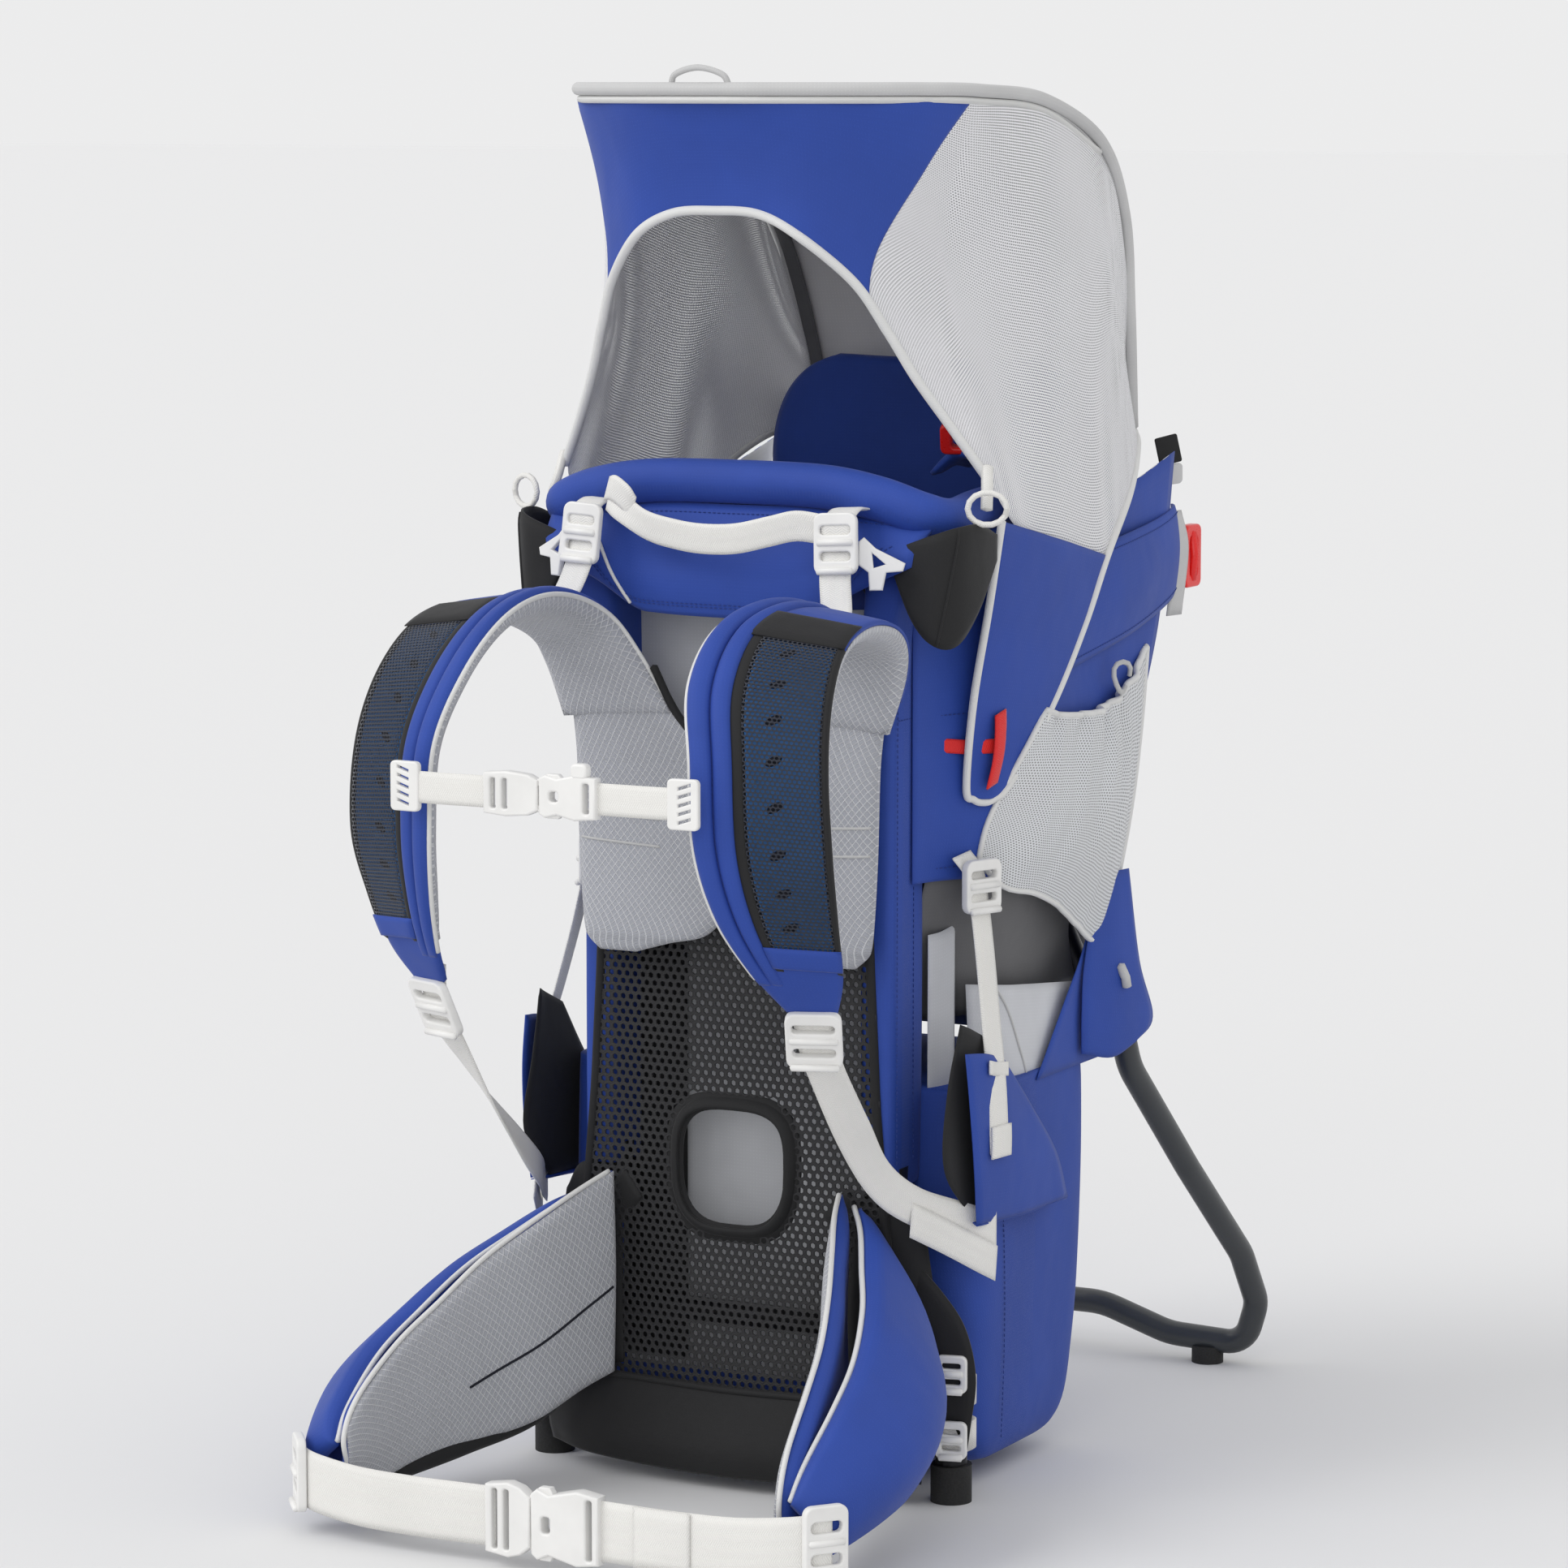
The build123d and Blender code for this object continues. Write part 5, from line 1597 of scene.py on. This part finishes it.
def build_pocket():
    rows = [
        [(53, 398), (70, 380), (98, 373), (130, 360), (162, 342), (188, 330), (206, 332)],
        [(58, 418), (82, 408), (112, 402), (142, 394), (174, 382), (204, 372), (232, 372)],
        [(68, 438), (96, 434), (126, 431), (158, 428), (190, 424), (222, 419), (252, 418)],
        [(88, 466), (114, 464), (144, 461), (176, 459), (208, 460), (240, 464), (265, 468)],
        [(114, 488), (134, 483), (160, 481), (188, 481), (214, 486), (240, 496), (274, 514)],
    ]
    grid = []
    for r, line in enumerate(rows):
        grid.append([])
        for c, (y, z) in enumerate(line):
            swell = math.sin(math.pi * c / 6) * (3.0, 16.0, 19.0, 13.0, 6.0)[r] + 2.5
            grid[-1].append(at(wall_x(y, swell), y, z))
    fine = spread(grid, 12, 12)
    for r, line in enumerate(fine):
        v = r / (len(fine) - 1)
        for c, spot in enumerate(line):
            u = c / (len(line) - 1)
            fold = (math.sin(u * 31 + 2.2 * math.sin(v * 3)) + 0.7 * math.sin(u * 67 + 1.3)
                    + 0.8 * math.sin(v * 9 + u * 14))
            spot.x += fold * 1.5 * MM * (0.35 + v) * math.sin(math.pi * min(u, 1.0) * 0.998) ** 0.5
    pocket = slab("side_pocket_right", fine, 0.6 * MM, 0.6 * MM)
    dress(pocket, POCKET_MESH, "grey_mesh", "carrier", "mesh_pockets")
    hem = pipe("pocket_hem_right", fine[-1], 2.6 * MM, sides=8, flat=0.8)
    dress(hem, WHITE_BINDING, "grey_mesh", "carrier")
    front_edge = [line[0] for line in fine[::-3]]
    rear_edge = [line[-1] for line in fine[3::3]]
    edge = pipe("pocket_edge_right", front_edge + fine[0][2::3] + rear_edge, 1.9 * MM, sides=8)
    dress(edge, WHITE_BINDING, "grey_mesh", "carrier")
    for piece in (pocket, hem, edge):
        twin(piece, piece.name.replace("right", "left"))
    cord = [at(161 + 1.5 * math.sin(k), 214 + 12 * math.cos(k * 0.5), 500 + 10 * math.sin(k * 0.5))
            for k in range(12)]
    toggle = pipe("pocket_cord_right", cord, 1.7 * MM, sides=8)
    dress(toggle, GREY_CORD, "grey_mesh", "carrier")


def build_wraps_and_rear():
    lines = [
        [(118, 151, 506), (170, 153, 514), (235, 155, 525), (290, 153, 536), (322, 149, 543),
         (334, 143, 546)],
        [(118, 151, 543), (170, 156, 549), (235, 160, 557), (290, 156, 566), (325, 151, 574),
         (336, 143, 575)],
        [(118, 151, 580), (170, 153, 585), (235, 155, 592), (290, 153, 598), (322, 149, 603),
         (334, 143, 604)],
    ]
    grid = spread([row(*[(x, y, z) for y, x, z in line]) for line in lines], 6, 8)
    wrap = slab("side_wrap_right", grid, 2 * MM, 1.2 * MM, crowned(6.0, 0.5))
    dress(wrap, BLUE, "blue_fabric", "carrier", "side_wraps")
    wrap_seams = [front_line("side_wrap_right", (0.02, v), (0.98, v), 40, 0.3 * MM) for v in (0.08, 0.92)]
    seam = stitches("wrap_stitches_right", wrap_seams, BLUE_DEEP, "blue_fabric", "carrier")
    twin(wrap, "side_wrap_left")
    twin(seam, "wrap_stitches_left")
    levels = [(208, 262, 112), (222, 320, 114), (232, 372, 120), (240, 404, 138), (255, 460, 141),
              (285, 535, 138), (296, 600, 134), (298, 662, 126)]
    rear_rows = [row(*[(-half * s, y + 4 + 4 * (1 - s * s), z) for s in shares(-1, 1, 7)])
                 for y, z, half in levels]
    rear = slab("rear_cloth", spread(rear_rows, 6, 6), 1.5 * MM, 1.5 * MM)
    dress(rear, BLUE, "blue_fabric", "carrier", "rear_panel")
    # painted shade: the rear panel's inner faces take the darkened lining copy
    two_faced(rear, LINING_PAINTED_SHADE)
    shape = [(566, 108), (584, 118), (615, 123), (648, 122), (674, 113), (692, 96), (701, 72)]
    rest_rows = [row(*[(half * s, 268 + 5 * s * s, z) for s in shares(-1, 1, 7)]) for z, half in shape]
    rest = slab("headrest_cushion", spread(rest_rows, 6, 6), 13 * MM, 9 * MM, crowned(4.0, 0.25))
    dress(rest, BLUE, "blue_fabric", "carrier", "headrest")
    buckle = plate("rear_buckle_right", rounded_outline(26, 42, 5),
                   [list(reversed(rounded_outline(12, 26, 3)))], 8, 1.5,
                   facing(at(148, 352, 568), (0, 1, 0), (0, 0, 1)))
    bar = pipe("bar", row((150, 352, 552), (152, 352, 568), (150, 352, 584)), 3.5 * MM, sides=8)
    buckle = joined("rear_buckle_right", [buckle, bar])
    dress(buckle, RED_PLASTIC, "red_plastic", "carrier", "rear_buckles")
    strap = ribbon("rear_web_right", row((148, 326, 600), (151, 332, 574), (148, 328, 530)),
                   Vector((0.2, 1, 0)), 17 * MM, WEBBING_THICK)
    dress(strap, GREY_CORD, "white_webbing", "carrier")
    twin(buckle, "rear_buckle_left")
    twin(strap, "rear_web_left")
    tag = plate("rear_tag", rounded_outline(17, 19, 1.5), [], 1.6, 0.4,
                facing(at(142, 330, 640), (0.6, 0.8, 0.2), (-0.1, 0, 1)))
    dress(tag, BLACK, "black_fabric", "carrier")
    tongue = plate("rear_tag_loop", rounded_outline(10, 14, 3), [], 1.6, 0.4,
                   facing(at(145, 336, 624), (0.6, 0.8, 0.1), (0.2, 0, 1)))
    dress(tongue, GREY_CORD, "white_webbing", "carrier")


def build_child_buckle():
    """Red buckle and blue shoulder pad of the child's harness, at rest over the cockpit's rim."""
    pad = slab("child_shoulder_pad", spread([
        row((72, 112, 636), (96, 100, 650), (124, 92, 646)),
        row((66, 150, 640), (94, 140, 656), (128, 130, 650)),
        row((62, 190, 636), (92, 184, 650), (130, 176, 644))], 6, 6), 3 * MM, 6 * MM, crowned(4.0, 0.3))
    dress(pad, BLUE, "blue_fabric", "carrier")
    opening = list(reversed(rounded_outline(9, 11, 2)))
    place = facing(at(98, 100, 660), (0.95, 0.3, 0), (0, -0.3, 1))
    buckle = plate("child_buckle", rounded_outline(24, 20, 4), [opening], 9, 1.5, place)
    dress(buckle, RED_PLASTIC, "red_plastic", "carrier")


def build_cargo_hold():
    levels = [
        # Z, front Y, rear Y, half width
        (11, 56, 142, 128), (13, 46, 152, 138), (20, 36, 168, 144), (36, 26, 182, 147), (70, 22, 192, 148),
        (110, 21, 199, 148.5), (180, 21, 205, 148.5), (235, 22, 206, 148), (256, 23, 204, 147.5),
    ]
    shape = curve_through([Vector(level[1:]) for level in levels], 5)
    heights = curve_through([Vector((level[0], 0, 0)) for level in levels], 5)
    loops = []
    for level, (front, rear, half) in zip(heights, shape):
        loops.append(ellipse_loop(at(0, (front + rear) / 2, level.x), Vector((half * MM, 0, 0)),
                                  Vector((0, (rear - front) / 2 * MM, 0)), 96, 9.0))
    hold = lofted("cargo_cloth", loops)
    dress(hold, BLUE, "blue_fabric", "carrier", "cargo_compartment")
    seams = [[at(149.2, 60 + 5 * math.sin(k / 9), z) for k, z in enumerate(range(26, 250, 6))]]
    stitches("cargo_stitches", seams, BLUE_DEEP, "blue_fabric", "carrier")


def build_pivot_tabs():
    rows = [row((153, 172, 258), (162, 200, 252), (167, 226, 258)),
            row((154, 170, 286), (164, 206, 278), (169, 250, 272)),
            row((153, 176, 318), (162, 204, 316), (166, 234, 312)),
            row((152, 200, 372), (155, 216, 372), (158, 234, 372))]
    tab = slab("pivot_tab_right", spread(rows, 6, 8), 1.5 * MM, 1.5 * MM)
    dress_pair(tab, BLUE, "blue_fabric", "carrier", "pivot_tabs")
    tip = pipe("pivot_cord_right", row((165, 206, 312), (168, 208, 304), (168, 210, 298)), 3.2 * MM,
               sides=10)
    dress_pair(tip, GREY_CORD, "white_webbing", "carrier")


def build_stirrups():
    line = row((130, 38, 404), (137, 42, 392), (141, 42, 372), (147, 38, 340), (155, 30, 300),
               (163, 22, 262), (166, 20, 222))
    web = ribbon("stirrup_web_right", line, Vector((0.15, 1, 0.15)), 20 * MM, WEBBING_THICK, steps=8)
    dress(web, WHITE_WEBBING, "white_webbing", "carrier", "stirrup_webbing")
    hem = ribbon("stirrup_web_end_right", row((167, 20.5, 238), (167.5, 20, 228), (167.5, 19.5, 218)),
                 Vector((0.15, 1, 0)), 21 * MM, HEAVY_WEBBING_THICK)
    dress(hem, WHITE_WEBBING, "white_webbing", "carrier")
    keeper = ribbon("stirrup_keeper_right", row((164.5, 9, 276), (162.5, 22, 273), (163.5, 37, 271)), UP,
                    9 * MM, HEAVY_WEBBING_THICK)
    dress(keeper, WHITE_WEBBING, "white_webbing", "carrier")
    lock = ladder_lock("stirrup_lock_right", at(142, 43, 384), (0.35, 0.93, 0), (0, 0, 1), 30, 34, 6.0)
    dress(lock, WHITE_PLASTIC, "white_plastic", "carrier", "stirrup_locks")
    outer_rows = [row((160, 0, 178), (161, 66, 173), (160, 136, 171)),
                  row((161, -6, 214), (163, 52, 206), (161, 116, 204)),
                  row((160, -10, 252), (162, 28, 250), (160, 80, 240)),
                  row((157, -11, 287), (160, 12, 284), (158, 42, 276))]
    outer = slab("stirrup_outer_right", spread(outer_rows, 8, 8), 1.6 * MM, 1.6 * MM)
    dress(outer, BLUE, "blue_fabric", "carrier", "stirrup_bands")
    inner_rows = [row((152, 10, 179), (153, 66, 176), (152, 132, 173)),
                  row((150, -26, 216), (152, 34, 212), (152, 100, 210)),
                  row((148, -18, 262), (150, 12, 260), (152, 60, 250)),
                  row((150, -4, 304), (152, 6, 300), (153, 30, 290))]
    inner = slab("stirrup_inner_right", spread(inner_rows, 8, 8), 1.2 * MM, 1.2 * MM)
    dress(inner, BLACK, "black_fabric", "carrier")
    foot_rows = [row((152, 8, 178), (152, 66, 175), (152, 134, 172)),
                 row((160, 0, 177), (160, 66, 172), (160, 136, 170))]
    foot = slab("stirrup_foot_right", spread(foot_rows, 8, 6), 1.4 * MM, 1.4 * MM)
    dress(foot, BLUE, "blue_fabric", "carrier")
    for piece in (web, hem, keeper, lock, outer, inner, foot):
        twin(piece, piece.name.replace("right", "left"))


def build_red_loops():
    loop_line = row((120, 29, 473), (126, 36, 472), (133, 44, 471), (140, 52, 471), (144, 60, 471),
                    (142, 70, 472))
    loop = ribbon("red_loop_right", loop_line, UP, 9 * MM, WEBBING_THICK, steps=8)
    dress_pair(loop, RED_WEBBING, "red_webbing", "carrier", "red_loops")
    pull = ribbon("red_pull_right", row((146, 61, 492), (147, 59, 480), (146.5, 57, 464), (143.5, 54, 446)),
                  Vector((0.1, 1, 0.25)), 13 * MM, 2.4 * MM, steps=8)
    dress_pair(pull, RED_WEBBING, "red_webbing", "carrier")


def finish_frame_nodes():
    """Finishes for the tubes, pins and feet that are shown as they come."""
    finishes = {
        "frame_upright_left": FRAME_COAT, "frame_upright_right": FRAME_COAT, "frame_top_bow": FRAME_COAT,
        "frame_cross_tube": FRAME_COAT, "side_arms": FRAME_COAT, "pivot_brackets": FRAME_COAT,
        "pivot_pins": STEEL, "kickstand": STAND_COAT, "kickstand_feet": RUBBER, "rubber_feet": RUBBER,
        "sleeve_end_caps": BLACK_PLASTIC,
    }
    for name, finish in finishes.items():
        piece = bpy.data.objects[name]
        piece.data.materials.clear()
        piece.data.materials.append(finish)


# ---------------------------------------------------------------- what is cloth and what is padding

SHEETS = {
    # each cut of cloth, how it is held, and what it is sewn to or lies on; a right one has a left twin
    "canopy_front": ("stretched", ["canopy_hoop_binding"]),
    "canopy_side_right": ("stretched", ["canopy_hoop_binding"]),
    "canopy_roof_cloth": ("stretched", ["canopy_hoop_binding"]),
    "canopy_tail_right": ("hung", ["canopy_side_right"]),
    # painted shadow: a deep blue sheet, not a cut of cloth
    "collar_shadow_cloth": ("stretched", ["frame_top_bow"]),
    "side_wall_cloth_right": ("stretched", ["frame_upright_right"]),
    "side_wall_lower_right": ("stretched", ["side_wall_cloth_right"]),
    "lining_back": ("stretched", ["frame_cross_tube"]),
    # painted shade: a black sheet, not a cut of cloth
    "lining_shade": ("stretched", ["frame_cross_tube"]),
    "leg_lining_shaded_right": ("hung", ["side_wall_cloth_right"]),
    "leg_lining_front_right": ("hung", ["side_wall_cloth_right"]),
    "leg_lining_flap_right": ("hung", ["side_wall_cloth_right"]),
    "plain_label": ("stretched", ["lining_back"]),
    "seat_skirt_right": ("hung", ["seat_cushion"]),
    "side_pocket_right": ("gathered", ["side_wall_cloth_right"]),
    "side_wrap_right": ("stretched", ["side_wall_cloth_right"]),
    "rear_cloth": ("stretched", ["side_wall_cloth_right", "side_wall_cloth_left"]),
    "pivot_tab_right": ("stretched", ["side_wall_lower_right"]),
    "stirrup_outer_right": ("hung", ["stirrup_web_right"]),
    "stirrup_inner_right": ("hung", ["stirrup_web_right"]),
}


def both_sides(name):
    """A right piece's name and its left twin's, or the name alone for a piece on the middle line."""
    return (name, name.replace("_right", "_left")) if name.endswith("_right") else (name,)


def declare_sheet(cut_from):
    grid = FRONTS[cut_from]
    width = max(arc_lengths(line)[-1] for line in grid)
    length = max(arc_lengths(list(column))[-1] for column in zip(*grid))
    area = 0.0
    for low, high in zip(grid, grid[1:]):
        for a, b, c, d in zip(low, low[1:], high[1:], high):
            area += (c - a).cross(d - b).length / 2
    area = min(max(area, 0.3 * width * length), width * length)


def declare_soft_pieces():
    for right_name, (held, sewn_to) in SHEETS.items():
        for name in both_sides(right_name):
            declare_sheet(right_name)


# ---------------------------------------------------------------- the whole carrier

build_canopy()
build_tails()
build_canopy_loops()
build_collar()
build_corner_patch()
build_upper_buckles()
build_handle()
build_straps()
build_yoke()
build_adjusters()
build_harness_webbing()
build_sternum()
build_hip_details(*build_hip_belt())
build_hip_webbing()
build_back_net()
build_window()
build_base()
build_frame_wraps()
build_sleeves()
build_side_wall()
build_lining()
build_seat()
build_pocket()
build_wraps_and_rear()
build_child_buckle()
build_cargo_hold()
build_pivot_tabs()
build_stirrups()
build_red_loops()
finish_frame_nodes()
declare_soft_pieces()
